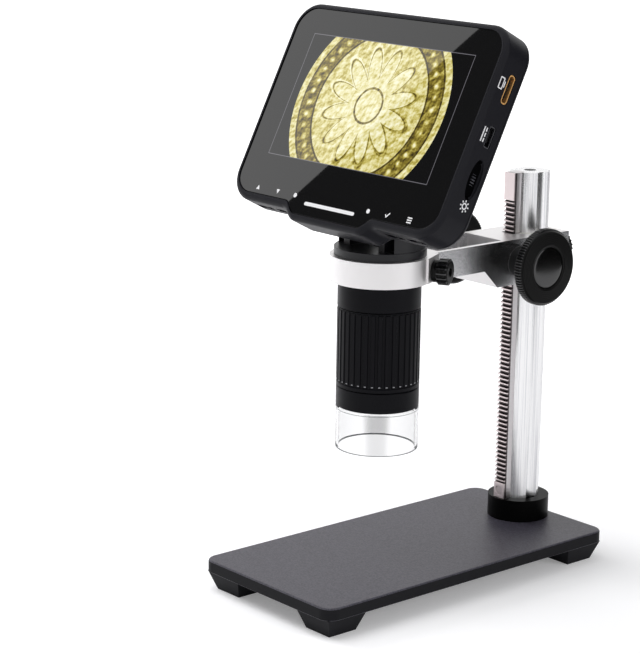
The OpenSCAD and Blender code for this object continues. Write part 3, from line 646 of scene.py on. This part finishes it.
def ribbed_knob(name, finishes, place, span, radius, count, neck=0.0, hole=0.0):
    """A small knob with straight ribs, an optional neck and an optional round hole"""
    start, end = span
    material, knurled = finishes
    core, width = radius - 0.5, 0.9
    corners = [(0, start, 0)]
    if neck:
        corners += [(core - 0.4, start, 0.2), (core - 0.4, start + neck, 0)]
    corners += [
        (core, start + neck, 0.2), (core, end - 0.5, 0.2), (core - 0.5, end, 0.2)]
    if hole:
        corners += [(hole, end, 0.15), (hole, end - 2.0, 0)]
    corners.append((0, corners[-1][1], 0))
    turned_piece(name + "_core", corners, material, name, place, 64)
    shape = bmesh.new()
    add_rib(
        shape, core - 0.1, radius, width, width * 0.6, start + neck + 0.05, end - 0.15, 0.4)
    repeated(name + "_ribs", shape, knurled, BODY_OF[name], place, count)


# ---- camera head ----


def barrel_part(name):
    """Lower and upper end, radius and placement of a round CAD node on the barrel's axis"""
    low, high = node_box(name)
    place = Matrix.Translation((0, (low.y + high.y) / 2, 0))
    return low.z, high.z, (high.x - low.x) / 2, place


def sleeve(grips, material):
    """The focus sleeve: a plain tube with a band at each end and ribs between them"""
    low, high, radius, place = barrel_part("focus_sleeve")
    turned_piece("focus_sleeve_tube", [
        (radius - 2.2, low, 0.1), (radius, low, 0.2), (radius, low + 1.5, 0.1),
        (radius - 0.4, low + 1.7, 0), (radius - 0.4, high - 0.5, 0),
        (radius - 0.1, high - 0.3, 0.1), (radius - 0.1, high, 0), (radius - 2.2, high, 0)],
        material, "focus_sleeve", place, 144)
    shape = bmesh.new()
    add_rib(shape, radius - 0.45, radius, 2.0, 1.6, low + 1.9, high - 0.4, 0.5)
    repeated("focus_sleeve_ribs", shape, material, "sleeve", place, grips.flutes)
    # the ribs run out in small slopes; light grey blocks at their lower ends are painted highlights
    # where the slopes catch the light
    shape = bmesh.new()
    add_box(shape, (radius - 0.5, -0.45, low + 2.3), (radius + 0.03, 0.45, low + 2.8), 0.1)
    painted_glint = plain_black("rib_end_painted_highlight", "8c8c90", 0.3, 0.5)
    repeated("focus_sleeve_rib_ends", shape, painted_glint, "sleeve", place, grips.flutes, 40)


def shroud():
    """The clear shroud: a polished tube whose lower end is ground"""
    low, high, radius, place = barrel_part("shroud")
    piece = turned_piece("shroud_clear", [
        (radius - 1.2, low, 0.1), (radius, low, 0.25), (radius, low + 0.35, 0),
        (radius, high - 4.75, 0), (radius, high - 4.5, 0), (radius, high - 4, 0.1),
        (radius - 0.9, high - 3.6, 0), (radius - 0.9, high, 0), (radius - 1.2, high, 0)],
        clear_acrylic(), "shroud", place, 144)
    # the ground end, and the shoulder line, which shows through the wall
    second_finish(
        piece, ground_acrylic(), lambda middle, _: middle.z < low + 0.32
        or high - 4.75 < middle.z < high - 4.5)


# ---- the screen's own axes: x to the right, y up the screen, z out of the glass ----


def screen_place(sizes):
    """Placement of the screen's own axes in the row frame"""
    return (
        Matrix.Translation(HINGE) @ Matrix.Rotation(pi / 2 - sizes.lean, 4, "X")
        @ Matrix.Translation(HINGE_TO_PICTURE))


def housing_outline(sizes):
    """Outline of the housing with its chin"""
    x, low, top, r = sizes.width / 2, sizes.low, sizes.top, sizes.corner
    return rounded_corners([
        (x, low, r), (x, top, r), (-x, top, r), (-x, low, r), (-26, low, 5.5),
        (-21, low - 4.2, 6), (21, low - 4.2, 6), (26, low, 5.5)], 12)


def glass_outline(sizes):
    """Outline of the cover glass with its tab, point for point like the housing's"""
    x, low, top = sizes.width / 2 - sizes.rim, sizes.low + 3.3, sizes.top - sizes.rim
    r = sizes.corner - sizes.rim
    return rounded_corners([
        (x, low, r), (x, top, r), (-x, top, r), (-x, low, r), (-25, low, 4),
        (-21, low - 4.8, 4), (21, low - 4.8, 4), (25, low, 4)], 12)


def cut_away(piece, cutters):
    """Cuts a shape of closed cutters out of a piece and keeps the result as a plain mesh"""
    bmesh.ops.remove_doubles(cutters, verts=cutters.verts, dist=1e-6)
    bmesh.ops.recalc_face_normals(cutters, faces=cutters.faces)
    name = piece.name + "_cutters"
    tool = linked(name, mesh_of(cutters, name))
    cut = piece.modifiers.new("Cut", "BOOLEAN")
    cut.operation = "DIFFERENCE"
    cut.solver = "MANIFOLD"
    cut.object = tool
    made = evaluated(piece)
    piece.modifiers.clear()
    bpy.data.objects.remove(tool)
    piece.data = weighed(made)


def housing_shell(sizes, material):
    """The front shell: rounded front edge, rim round the glass, hollow behind"""
    outer, glass = housing_outline(sizes), glass_outline(sizes)
    shape = bmesh.new()
    rings = [
        at_height(inset(glass, -0.12), -1.15), at_height(inset(glass, -0.12), 0.5),
        at_height(inset(glass, -0.38), RIM_FRONT)]
    steps, wide = 10, 2.5
    for t in (pi / 2 * k / steps for k in range(steps + 1)):
        rings.append(at_height(
            inset(outer, wide * (1 - sin(t))), RIM_FRONT - sizes.fillet * (1 - cos(t))))
    rings += [
        at_height(outer, SHELL_BACK + 0.25), at_height(inset(outer, 0.25), SHELL_BACK),
        at_height(inset(outer, 2.2), SHELL_BACK), at_height(inset(outer, 2.2), -2.4)]
    add_rings(shape, rings)
    return finish_piece(
        "housing_front", shape, material, "screen", ("front_shell",), screen_place(sizes))


def add_box(shape, low, high, edge=0.0, place=Matrix()):
    """A box between two corners, as a slab with rounded upright edges"""
    middle = ((low[0] + high[0]) / 2, (low[1] + high[1]) / 2)
    outline = rectangle(high[0] - low[0], high[1] - low[1], max(edge, 1e-3), middle, 3)
    add_slab(shape, outline, low[2], high[2], min(edge, 0.3), min(edge, 0.3), place, 2)


def side_cutters(sizes):
    """Openings of the side walls and of the bottom"""
    place = screen_place(sizes)
    wall = sizes.width / 2
    cutters = bmesh.new()
    right = Matrix.Translation((wall - 3.4, 0, 0)) @ Matrix.Rotation(pi / 2, 4, "Y")
    # in these axes x runs into the depth of the housing and y up the screen
    for (y, z), wide, high, radius in ((VIDEO, 12.0, 3.8, 1.6), (POWER, 8.8, 3.4, 0.9)):
        add_slab(
            cutters, rectangle(high, wide, radius, (-z, y)), 0.0, 6.0, place=place @ right)
    for x in KEY_X:
        add_box(
            cutters, (x - 5.0, sizes.low - 1, KEY_Z - 1.7), (x + 5.0, sizes.low + 3.2, KEY_Z + 1.7),
            place=place)
    # an almond hollow over the light wheel, and the slot behind it
    hollow = bmesh.new()
    bmesh.ops.create_uvsphere(hollow, u_segments=48, v_segments=24, radius=1.0)
    bmesh.ops.transform(
        hollow, matrix=place @ Matrix.Translation((wall + 0.3, *WHEEL))
        @ Matrix.Diagonal((*HOLLOW, 1.0)), verts=hollow.verts)
    cutters.from_mesh(mesh_of(hollow, "hollow"))
    y, z = WHEEL
    add_box(cutters, (wall - 3.4, y - 6.6, z - 2.2), (wall - 0.9, y + 6.6, z + 2.2), place=place)
    y, z = CARD
    add_box(cutters, (-wall - 1, y - 6.2, z - 1.5), (-wall + 3.4, y + 6.2, z), place=place)
    bmesh.ops.transform(cutters, matrix=Matrix.Scale(MM, 4), verts=cutters.verts)
    return cutters


def black_glass(sizes, colours):
    """Toughened glass printed black behind, with the lit picture seen through it"""
    made = new_material("glass_printed_black", colours.glass, 0.012, Specular_IOR_Level=0.5)
    tree = made.node_tree
    local = add_node(
        tree, "ShaderNodeMapping",
        {"Vector": add_node(tree, "ShaderNodeTexCoord").outputs["Object"],
         "Location": screen_place(sizes).translation * MM,
         "Rotation": (pi / 2 - sizes.lean, 0.0, 0.0), "Scale": (MM, MM, MM)},
        vector_type="TEXTURE").outputs[0]
    parts = add_node(tree, "ShaderNodeSeparateXYZ", {0: local})
    x, y = parts.outputs["X"], parts.outputs["Y"]

    def calc(operation, *values, clamp=False):
        return add_node(
            tree, "ShaderNodeMath", dict(enumerate(values)), operation=operation, use_clamp=clamp
        ).outputs[0]

    def near(value, spot, reach):
        return calc("LESS_THAN", calc("ABSOLUTE", calc("SUBTRACT", value, spot)), reach)

    def fading(value, reach):
        return calc("SUBTRACT", 1.0, calc("DIVIDE", value, reach), clamp=True)

    def length(one, two):
        return calc("SQRT", calc("ADD", calc("MULTIPLY", one, one), calc("MULTIPLY", two, two)))

    def rectangle_of(less):
        return calc(
            "MULTIPLY", near(x, 0.0, sizes.picture_width / 2 - less),
            near(y, 0.0, sizes.picture_height / 2 - less))

    inside = rectangle_of(0.0)
    frame_line = calc("SUBTRACT", inside, rectangle_of(0.3))
    radius = length(x, y)
    angle = calc("ARCTAN2", y, x)
    medal = calc("MULTIPLY", inside, calc("LESS_THAN", radius, 43.0))
    # the rosette: twelve petals whose edges show as dark lines, round a ring
    petal = calc("ABSOLUTE", calc("SINE", calc("MULTIPLY", angle, 6.0)))
    reach = calc("ADD", calc("MULTIPLY", petal, 13.0), 12.0)
    past = calc("SUBTRACT", radius, reach)
    line = calc(
        "ADD", fading(calc("ABSOLUTE", past), 1.0), near(radius, 7.5, 0.5), clamp=True)
    # struck relief: a lit flank on the side toward the top left, a shaded one opposite
    toward = calc("DIVIDE", calc("SUBTRACT", y, x), radius)
    flank = calc("MULTIPLY", fading(calc("ABSOLUTE", calc("SUBTRACT", past, 1.6)), 1.4), toward)
    # a dark band between two lines, with a ring of 44 beads on it
    band, step = 35.0, pi / 22
    along = calc("SUBTRACT", calc("FRACT", calc("DIVIDE", angle, step)), 0.5)
    bead = fading(
        length(calc("MULTIPLY", along, step * band), calc("SUBTRACT", radius, band)), 1.7)
    edges = calc("ADD", near(radius, 31.0, 0.45), near(radius, 39.2, 0.45), clamp=True)
    # two samples of one noise, set off to one side, give the mottle lit and shaded flanks
    shifted = add_node(
        tree, "ShaderNodeMapping", {"Vector": local, "Location": (0.5, -0.5, 0.0)}).outputs[0]
    mottle, beside = (
        add_node(
            tree, "ShaderNodeTexNoise", {"Vector": place, "Scale": 0.35, "Detail": 4.0}
        ).outputs["Fac"] for place in (local, shifted))
    tone = 0.26
    for part, share in (
            (mottle, 0.7), (calc("SUBTRACT", mottle, beside), 0.9),
            (near(radius, band, 4.0), -0.34), (bead, 0.6),
            (calc("LESS_THAN", radius, reach), 0.12), (flank, 0.22)):
        tone = calc("ADD", tone, calc("MULTIPLY", part, share))
    dark = calc("ADD", line, edges, clamp=True)
    tone = calc("SUBTRACT", tone, calc("MULTIPLY", dark, 0.5), clamp=True)
    colour = ramp(tree, tone, [
        (0.05, "3a2f12"), (0.28, "857526"), (0.5, "c2b45a"), (0.68, "e6dea0"), (0.9, "fbf8d8")])
    lit = add_node(
        tree, "ShaderNodeMix", {0: medal, 6: linear("000000"), 7: colour}, data_type="RGBA")
    shown = add_node(
        tree, "ShaderNodeMix", {0: frame_line, 6: lit.outputs[2], 7: linear("6c6a70")},
        data_type="RGBA")
    feed(made, "Emission Color", shown.outputs[2])
    tree.nodes["Principled BSDF"].inputs["Emission Strength"].default_value = 1.0
    return made


# ---- operators ----


def settings():
    """The three property groups"""
    scene = bpy.context.scene
    return scene.screen_sizes, scene.grip_sizes, scene.finish_colours


class MICROSCOPE_OT_stand(bpy.types.Operator):
    """Base plate, feet, collar, column and rack"""

    bl_idname = "microscope.stand"
    bl_label = "Stand"

    def execute(self, context):
        _, _, colours = settings()
        low, high = node_box("base_plate")
        middle, size = (low + high) / 2, high - low
        shape = bmesh.new()
        outline = rectangle(size.x, size.y, 6.0, middle.xy, 12)
        add_slab(shape, outline, low.z, high.z, 0.5, 0.9)
        plate = finish_piece(
            "base_plate_coated", shape, powder_coat(colours), "stand", ("base_plate",))
        # the sheared upright edges get a darker colour of the same coat: painted shade
        second_finish(
            plate, plain_black("powder_coat_edge_painted_shade", "151518", 0.5, 0.12),
            lambda _, normal: abs(normal.z) < 0.5)
        bevelled_copy("base_feet", moulded_abs("rubber_black", "1b1b1e", 0.6, 0.15), 0.5)
        satin = plain_black("aluminium_anodised_black", "020202", 0.35, 0.06)
        bevelled_copy("column_collar", satin, 0.6)
        bevelled_copy("column", extruded_aluminium(colours), 0.12)
        # nickel plating is bright and slightly warm
        steel = new_material("steel_nickel_plated", "cfcdca", 0.22, 1.0)
        milled = milled_steel()
        bevelled_copy("rack", milled, 0.08)
        # the rack's screws are ground flush, so its plain upper end shows none
        front, top = node_box("rack")[0].y, node_box("rack")[1].z
        shape = bmesh.new()
        add_box(
            shape, (-2.95, front - 0.04, top - RACK_PLAIN + 0.1), (2.95, front + 0.2, top - 0.05))
        finish_piece("rack_end_face", shape, milled, "stand")
        paint(steel, "foot_screws", "collar_screw", "column_bolt")
        paint(milled, "rack_screws")
        return {"FINISHED"}


class MICROSCOPE_OT_carriage(bpy.types.Operator):
    """Arm with its ring, guides, pinion, knobs and screws"""

    bl_idname = "microscope.carriage"
    bl_label = "Carriage"

    def execute(self, context):
        _, grips, colours = settings()
        steel = bpy.data.materials["steel_nickel_plated"]
        arm = bevelled_copy("arm_bracket", cast_aluminium(), 0.35)
        second_finish(
            arm, milled_aluminium(),
            lambda middle, normal: abs(normal.x) > 0.95 and middle.y > -8)
        # the faces round the bosses of the shaft, beside the knobs, are given a plain black finish
        second_finish(
            arm, plain_black("black_round_bosses", "060607", 0.5, 0.2),
            lambda middle, _: abs(middle.x) > 12.8 and middle.y > 25)
        knob = turned_black(colours)
        # knurled tips are burnished bright by the tool
        knurled = plain_black("aluminium_knurled_black", "18181a", 0.22, 0.7)
        gloss = plain_black("acrylic_gloss_black", "010101", 0.13, 0.9)
        middle = middle_of("pinion_shaft")
        dome = [
            (8.4 * cos(a), 29.1 + 0.4 * sin(a), 0)
            for a in (pi / 2 * k / 12 for k in range(12))]
        disc = [(0, 28.45, 0), (8.55, 28.45, 0), (8.55, 29.0, 0), *dome, (0, 29.5, 0)]
        for side, axis in (("right", "x"), ("left", "-x")):
            place = turned(axis, middle.y, middle.z)
            focus_knob(side, grips, place, knob, knurled)
            turned_piece("knob_disc_" + side, disc, gloss, "knob_insert_" + side, place, 96, 5)
        ribbed_knob(
            "lock_knob", (knob, knurled), turned("y", middle_of("column").y, middle.z),
            (14.3, 21.5), 7.2, grips.lock_ribs)
        ribbed_knob(
            "clamp_knob", (knob, knurled), clamp_place(), (0.3, 7.3), 5.5, grips.clamp_ribs,
            neck=2.1, hole=1.8)
        paint(steel, "lock_screw", "clamp_screw", "pinion_shaft")
        paint(new_material("acetal_white", "e8e6df", 0.5), "guide_liners")
        paint(new_material("brass_sintered", "b08d4a", 0.35, 1.0), "shaft_bushes")
        return {"FINISHED"}


class MICROSCOPE_OT_head(bpy.types.Operator):
    """Camera head: barrel, focus sleeve, nose ring, shroud, lens and lamps"""

    bl_idname = "microscope.head"
    bl_label = "Camera head"

    def execute(self, context):
        _, grips, colours = settings()
        black = moulded_abs("abs_black_barrel", colours.barrel, 0.34, 0.1)
        sleeve(grips, black)
        bevelled_copy("nose_ring", black, 0.4)
        bevelled_copy("barrel_tube", black, 0.25)
        bevelled_copy("head_cup", plain_black("abs_black_satin", "121216", 0.34, 0.4), 0.5)
        shroud()
        paint(black, "lens_cell")
        paint(new_material("solder_mask_white", "e9ece6", 0.5), "lamp_board")
        paint(new_material("lamp_lens", "fff6cf", 0.3), "lamp_leds")
        paint(
            new_material("glass_optical", "bcd4dc", 0.02, Transmission_Weight=1.0),
            "objective_lens")
        paint(new_material("solder_mask_green", "2f6b3f", 0.4), "sensor_board", "main_board")
        paint(new_material("sensor_package", "44484c", 0.3), "image_sensor")
        bevelled_copy("hinge_knuckle", black, 0.4)
        paint(bpy.data.materials["steel_nickel_plated"], "hinge_pin", "hinge_screws")
        return {"FINISHED"}


class MICROSCOPE_OT_screen(bpy.types.Operator):
    """Screen housing, cover, glass, sockets, keys and light wheel"""

    bl_idname = "microscope.screen"
    bl_label = "Screen"

    def execute(self, context):
        sizes, grips, colours = settings()
        place = screen_place(sizes)
        abs_black = moulded_abs("abs_moulded_black", colours.housing)
        shell = housing_shell(sizes, abs_black)
        cut_away(shell, side_cutters(sizes))
        wall, flat = sizes.width / 2, place.inverted()

        def in_hollow(middle, _):
            x, y, z = flat @ middle
            across, depth = (y - WHEEL[0]) / HOLLOW[1], (z - WHEEL[1]) / HOLLOW[2]
            return (
                wall - 4 < x < wall - 0.3 and z > WHEEL[1] - 1.4
                and across ** 2 + depth ** 2 < 1)

        # the faces of the hollow toward the glass are given a black finish: painted shade in the
        # recess
        second_finish(shell, plain_black("hollow_painted_shade", "030304", 0.8, 0.02), in_hollow)
        shape = bmesh.new()
        add_slab(shape, housing_outline(sizes), SCREEN_BACK, SHELL_BACK - 0.05, 1.5, 0.25)
        finish_piece("housing_back", shape, abs_black, "screen", ("rear_cover",), place)
        shape = bmesh.new()
        add_slab(shape, glass_outline(sizes), -1.0, GLASS_FRONT, 0.1, 0.25)
        finish_piece(
            "cover_glass_printed", shape, black_glass(sizes, colours), "screen",
            ("cover_glass",), place)
        gold = new_material("gold_plated_steel", "f2bd78", 0.45, 0.8)
        # the power socket's tinned steel mouth is darkened to a mid grey: painted shade inside the
        # opening
        steel_in_painted_shade = new_material("socket_steel_painted_shade", "77777c", 0.35, 1.0)
        dark = plain_black("nylon_black", "070708", 0.5, 0.2)
        socket("video_socket", sizes, VIDEO, (11.7, 3.5, 1.5), 0.5, (gold, dark), "hdmi_socket")
        socket("power_socket", sizes, POWER, (8.5, 3.1, 0.8), 0.3, (steel_in_painted_shade, dark), "usb_socket")
        paint(
            bpy.data.materials["steel_nickel_plated"],
            "card_slot", "key_switches", "wheel_post", "shell_screws")
        paint(new_material("cell_wrap", "6d7480", 0.5), "battery")
        paint(new_material("panel_frame", "5d6166", 0.5), "lcd_panel")
        keys = plain_black("abs_gloss_black", "030304", 0.4, 0.1)
        bars = bmesh.new()
        for name, x in zip(("key_up", "key_down", "key_ok", "key_menu"), KEY_X):
            shape = bmesh.new()
            add_box(
                shape, (x - 4.6, sizes.low + 0.9, KEY_Z - 1.35),
                (x + 4.6, sizes.low + 3.0, KEY_Z + 1.35), 0.3)
            finish_piece(name + "_cap", shape, keys, BODY_OF[name], (name,), place)
            # a bar of the housing divides each opening into a long and a short one
            add_box(
                bars, (x + 0.7, sizes.low + 0.02, KEY_Z - 1.8),
                (x + 1.55, sizes.low + 0.8, KEY_Z + 1.8), place=place)
        finish_piece("housing_key_bars", bars, abs_black, "screen")
        axle = place @ Matrix.Translation((wall - 7.9, *WHEEL))
        dial = moulded_abs("abs_black_dial", "37373d", 0.35, 0.45)
        turned_piece(
            "light_wheel_core", [(1.6, -1.2, 0), (6.9, -1.2, 0.2), (6.9, 1.2, 0.2), (1.6, 1.2, 0)],
            dial, "light_wheel", axle, 96, 4)
        shape = bmesh.new()
        add_rib(shape, 6.8, 7.35, 0.7, 0.4, -1.15, 1.15, 0.2)
        repeated("light_wheel_ribs", shape, dial, "light_dial", axle, grips.wheel_ribs)
        return {"FINISHED"}


def side_place(sizes):
    """The right wall: x runs up the screen, y out of the glass and z out of the wall"""
    return screen_place(sizes) @ Matrix(
        ((0, 0, 1, sizes.width / 2), (1, 0, 0, 0), (0, 1, 0, 0), (0, 0, 0, 1)))


def socket(name, sizes, middle, size, rim, finishes, node):
    """A socket: a metal mouth round a dark tongue, seen through the side wall"""
    wide, high, radius = size
    wall = side_place(sizes)
    mouth = rectangle(wide, high, radius, middle, 4)
    shape = bmesh.new()
    add_frame(shape, mouth, rim, -3.0, -0.25)
    finish_piece(name + "_mouth", shape, finishes[0], "screen", (node,), wall)
    shape = bmesh.new()
    add_slab(shape, inset(mouth, 0.05), -9.0, -2.6)
    add_slab(shape, rectangle(wide - 4.0, 0.7, 0.1, middle, 2), -2.7, -0.9, 0, 0.1)
    finish_piece(name + "_inside", shape, finishes[1], "screen", place=wall)


class MICROSCOPE_OT_marks(bpy.types.Operator):
    """White printed marks on the glass and on the side"""

    bl_idname = "microscope.marks"
    bl_label = "Printed marks"

    def execute(self, context):
        sizes, _, colours = settings()
        ink = new_material("ink_screen_printed_white", colours.print_white, 0.5)
        shape = bmesh.new()
        y = -41.8
        outlines = [rectangle(30.0, 1.5, 0.7, (0.0, -44.2), 6)]
        outlines += [rectangle(1.9, 1.9, 0.94, (x, y), 6) for x in (-22.0, 22.0)]
        for x, up in zip(KEY_X[:2], (1, -1)):
            corners = [(x - 1.0, y - up * 0.9, 0), (x + 1.0, y - up * 0.9, 0), (x, y + up, 0)]
            outlines.append(rounded_corners(corners[::up]))
        outlines += [
            rectangle(2.6, 0.5, 0.1, (KEY_X[3], y + row * 0.95), 2) for row in (-1, 0, 1)]
        tick = [(-1.3, 0.1), (-0.35, -1.0), (1.4, 0.95), (1.0, 1.25), (-0.38, -0.2), (-0.9, 0.45)]
        outlines.append([Vector((KEY_X[2] + u, y + v)) for u, v in tick])
        for outline in outlines:
            add_slab(shape, outline, GLASS_FRONT, GLASS_FRONT + 0.02)
        finish_piece("marks_on_glass", shape, ink, "screen", place=screen_place(sizes))
        side_marks(sizes, ink)
        return {"FINISHED"}


def side_marks(sizes, ink):
    """Marks on the right wall: a screen, direct current and a lamp, each by its opening"""
    wall = side_place(sizes)
    low, high = -0.05, 0.03
    shape = bmesh.new()
    video, power = VIDEO[0], POWER[0]
    add_frame(shape, rectangle(4.8, 2.5, 0.4, (video + 1, -2.9), 3), 0.5, low, high)
    for wide, tall, middle in (
            (2.4, 0.5, (video + 1, -4.7)), (6.0, 0.6, (power, -3.2)),
            *((1.6, 0.6, (power + step, -4.5)) for step in (-2.1, 0.0, 2.1))):
        add_slab(shape, rectangle(wide, tall, 0.1, middle, 2), low, high)
    ring = [Vector(LAMP_MARK) + Vector(point[:2]) for point in circle(1.35, 0, 32)]
    add_frame(shape, ring, 0.55, low, high)
    finish_piece("marks_on_side", shape, ink, "screen", place=wall)
    shape = bmesh.new()
    add_slab(shape, rectangle(0.8, 0.55, 0.1, (2.05, 0.0), 2), low, high)
    repeated(
        "lamp_mark_rays", shape, ink, "screen",
        wall @ Matrix.Translation((*LAMP_MARK, 0)), 8, 40)


class MICROSCOPE_OT_stage(bpy.types.Operator):
    """Floor, lamps, world and camera"""

    bl_idname = "microscope.stage"
    bl_label = "Stage"

    def execute(self, context):
        scene = context.scene
        scene.view_settings.view_transform = "Standard"
        shape = bmesh.new()
        bmesh.ops.create_grid(shape, x_segments=1, y_segments=1, size=4.0)
        floor = linked("floor", mesh_of(shape, "floor"))
        floor.data.materials.append(pale_floor())
        set_world(scene)
        # a pale and a dark card, whose shared edge shows across the cover glass
        middle, facing = (-0.9517, -0.6839, 0.7989), (0.0019, -0.0317, 0.2027)
        add_card(
            "pale_card", middle, facing, [(-34, 260), (6, -260), (260, -260), (260, 260)], 1.75)
        add_card(
            "dark_card", middle, facing, [(-34, 260), (-260, 260), (-260, -260), (6, -260)], 0.08)
        # a dark flag behind on the right, mirrored in the discs, the arm's side and the column
        add_card(
            "dark_flag", (0.3365, 0.311, 0.3), (0.0125, 0.01, 0.3),
            [(-400, -262), (60, -262), (60, 320), (-400, 320)], 0.02)
        add_lamps()
        add_camera(scene)
        return {"FINISHED"}


def seen_directly(tree, mirrored):
    """1 for rays from the camera or through clear glass, a share for mirrors, else 0"""
    path = add_node(tree, "ShaderNodeLightPath").outputs
    through = add_node(
        tree, "ShaderNodeMath", {0: path["Is Camera Ray"], 1: path["Is Transmission Ray"]},
        operation="ADD")
    return add_node(
        tree, "ShaderNodeMath",
        {0: path["Is Glossy Ray"], 1: mirrored, 2: through.outputs[0]},
        operation="MULTIPLY_ADD", use_clamp=True).outputs[0]


def pale_floor():
    """A pale matt floor that reads white where it is lit and keeps the object's shadow"""
    made = new_material("paper_white", "f2f2f4", 0.9, Specular_IOR_Level=0.0)
    tree = made.node_tree
    # lifted a little near the object and to plain white further out
    away = add_node(
        tree, "ShaderNodeVectorMath",
        {0: add_node(tree, "ShaderNodeTexCoord").outputs["Object"]}, operation="LENGTH")
    share = add_node(
        tree, "ShaderNodeMapRange",
        {"Value": away.outputs["Value"], "From Min": 0.2, "From Max": 1.0, "To Min": 0.22,
         "To Max": 1.0}, interpolation_type="SMOOTHSTEP")
    lift = add_node(
        tree, "ShaderNodeMath", {0: seen_directly(tree, 0.15), 1: share.outputs["Result"]},
        operation="MULTIPLY")
    tree.nodes["Principled BSDF"].inputs["Emission Color"].default_value = (1, 1, 1, 1)
    feed(made, "Emission Strength", lift.outputs[0])
    return made


def add_card(name, middle, facing, corners, strength):
    """A studio card that only mirrors see, flat, facing a point; corners are in millimetres"""
    away = (Vector(middle) - Vector(facing)).normalized()
    across = Vector((0, 0, 1)).cross(-away).normalized()
    upward = (-away).cross(across)
    turn = Matrix((across, upward, -away)).transposed().to_4x4()
    shape = bmesh.new()
    shape.faces.new([shape.verts.new((x * MM, y * MM, 0)) for x, y in corners])
    bmesh.ops.transform(
        shape, matrix=Matrix.Translation(middle) @ turn, verts=shape.verts)
    card = linked(name, mesh_of(shape, name))
    made = bpy.data.materials.new(name)
    made.use_nodes = True
    tree = made.node_tree
    tree.nodes.remove(tree.nodes["Principled BSDF"])
    glow = add_node(tree, "ShaderNodeEmission", {"Strength": strength})
    tree.links.new(glow.outputs[0], tree.nodes["Material Output"].inputs["Surface"])
    card.data.materials.append(made)
    for ray in ("camera", "diffuse", "shadow", "transmission"):
        setattr(card, "visible_" + ray, False)


def set_world(scene):
    """White for the camera, clear glass and mirrors, and softer for everything else"""
    world = bpy.data.worlds.new("studio")
    world.use_nodes = True
    scene.world = world
    tree = world.node_tree
    soft = tree.nodes["Background"]
    soft.inputs["Strength"].default_value = 0.45
    soft.inputs["Color"].default_value = (1, 1, 1, 1)
    seen = add_node(tree, "ShaderNodeBackground", {"Color": (1, 1, 1, 1), "Strength": 1.0})
    mix = add_node(
        tree, "ShaderNodeMixShader",
        {0: seen_directly(tree, 1.0), 1: soft.outputs[0], 2: seen.outputs[0]})
    tree.links.new(mix.outputs[0], tree.nodes["World Output"].inputs["Surface"])


def add_lamps():
    """Three soft panels: over the object, at the left and behind on the right"""
    for name, spot, aim, side, power in (
            ("overhead_panel", (-0.25, -0.35, 1.1), (0, 0, 0.1), 0.9, 7.0),
            ("left_panel", (-1.0, -0.2, 0.6), (0, 0, 0.15), 0.6, 5.0),
            ("right_panel", (1.1, 0.4, 0.5), (0, 0, 0.12), 0.5, 3.5)):
        lamp = bpy.data.lights.new(name, "AREA")
        lamp.size = side
        lamp.energy = power
        panel = linked(name, lamp)
        panel.location = spot
        panel.rotation_euler = (Vector(aim) - Vector(spot)).to_track_quat("-Z", "Y").to_euler()
        panel.visible_glossy = False


def add_camera(scene):
    """Camera at the photograph's viewing angle"""
    azimuth, elevation, roll = (radians(v) for v in CAMERA_ANGLES)
    right = Vector((cos(azimuth), sin(azimuth), 0))
    back = Vector((
        sin(azimuth) * cos(elevation), -cos(azimuth) * cos(elevation),
        sin(elevation)))
    up = back.cross(right)
    across = right * cos(roll) + up * sin(roll)
    upward = up * cos(roll) - right * sin(roll)
    lens = bpy.data.cameras.new("camera")
    lens.sensor_width = SENSOR
    lens.lens = FOCAL_PIXELS / PHOTO_PIXELS * SENSOR
    lens.clip_start = 0.05
    camera = linked("camera", lens)
    turn = Matrix((across, upward, back)).transposed().to_4x4()
    camera.matrix_world = Matrix.Translation(CAMERA_PLACE) @ turn
    scene.camera = camera


class MICROSCOPE_PT_pieces(bpy.types.Panel):
    """Lists the sizes, colours and pieces"""

    bl_label = "Desk microscope"
    bl_idname = "MICROSCOPE_PT_pieces"
    bl_space_type = "VIEW_3D"
    bl_region_type = "UI"
    bl_category = "Microscope"

    def draw(self, context):
        for group in (context.scene.screen_sizes, context.scene.grip_sizes,
                      context.scene.finish_colours):
            box = self.layout.box()
            for name in group.__annotations__:
                box.prop(group, name)
        for operator in OPERATORS:
            self.layout.operator(operator.bl_idname)


GROUPS = (
    ("screen_sizes", ScreenSizes), ("grip_sizes", GripSizes), ("finish_colours", FinishColours))
OPERATORS = (
    MICROSCOPE_OT_stand, MICROSCOPE_OT_carriage, MICROSCOPE_OT_head, MICROSCOPE_OT_screen,
    MICROSCOPE_OT_marks, MICROSCOPE_OT_stage)


def register():
    for name, group in GROUPS:
        bpy.utils.register_class(group)
        setattr(bpy.types.Scene, name, bpy.props.PointerProperty(type=group))
    for operator in OPERATORS:
        bpy.utils.register_class(operator)
    bpy.utils.register_class(MICROSCOPE_PT_pieces)


def unregister():
    bpy.utils.unregister_class(MICROSCOPE_PT_pieces)
    for operator in reversed(OPERATORS):
        bpy.utils.unregister_class(operator)
    for name, group in reversed(GROUPS):
        delattr(bpy.types.Scene, name)
        bpy.utils.unregister_class(group)


def main():
    """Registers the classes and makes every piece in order"""
    register()
    bpy.ops.microscope.stand()
    bpy.ops.microscope.carriage()
    bpy.ops.microscope.head()
    bpy.ops.microscope.screen()
    bpy.ops.microscope.marks()
    bpy.ops.microscope.stage()


if __name__ == "__main__":
    main()
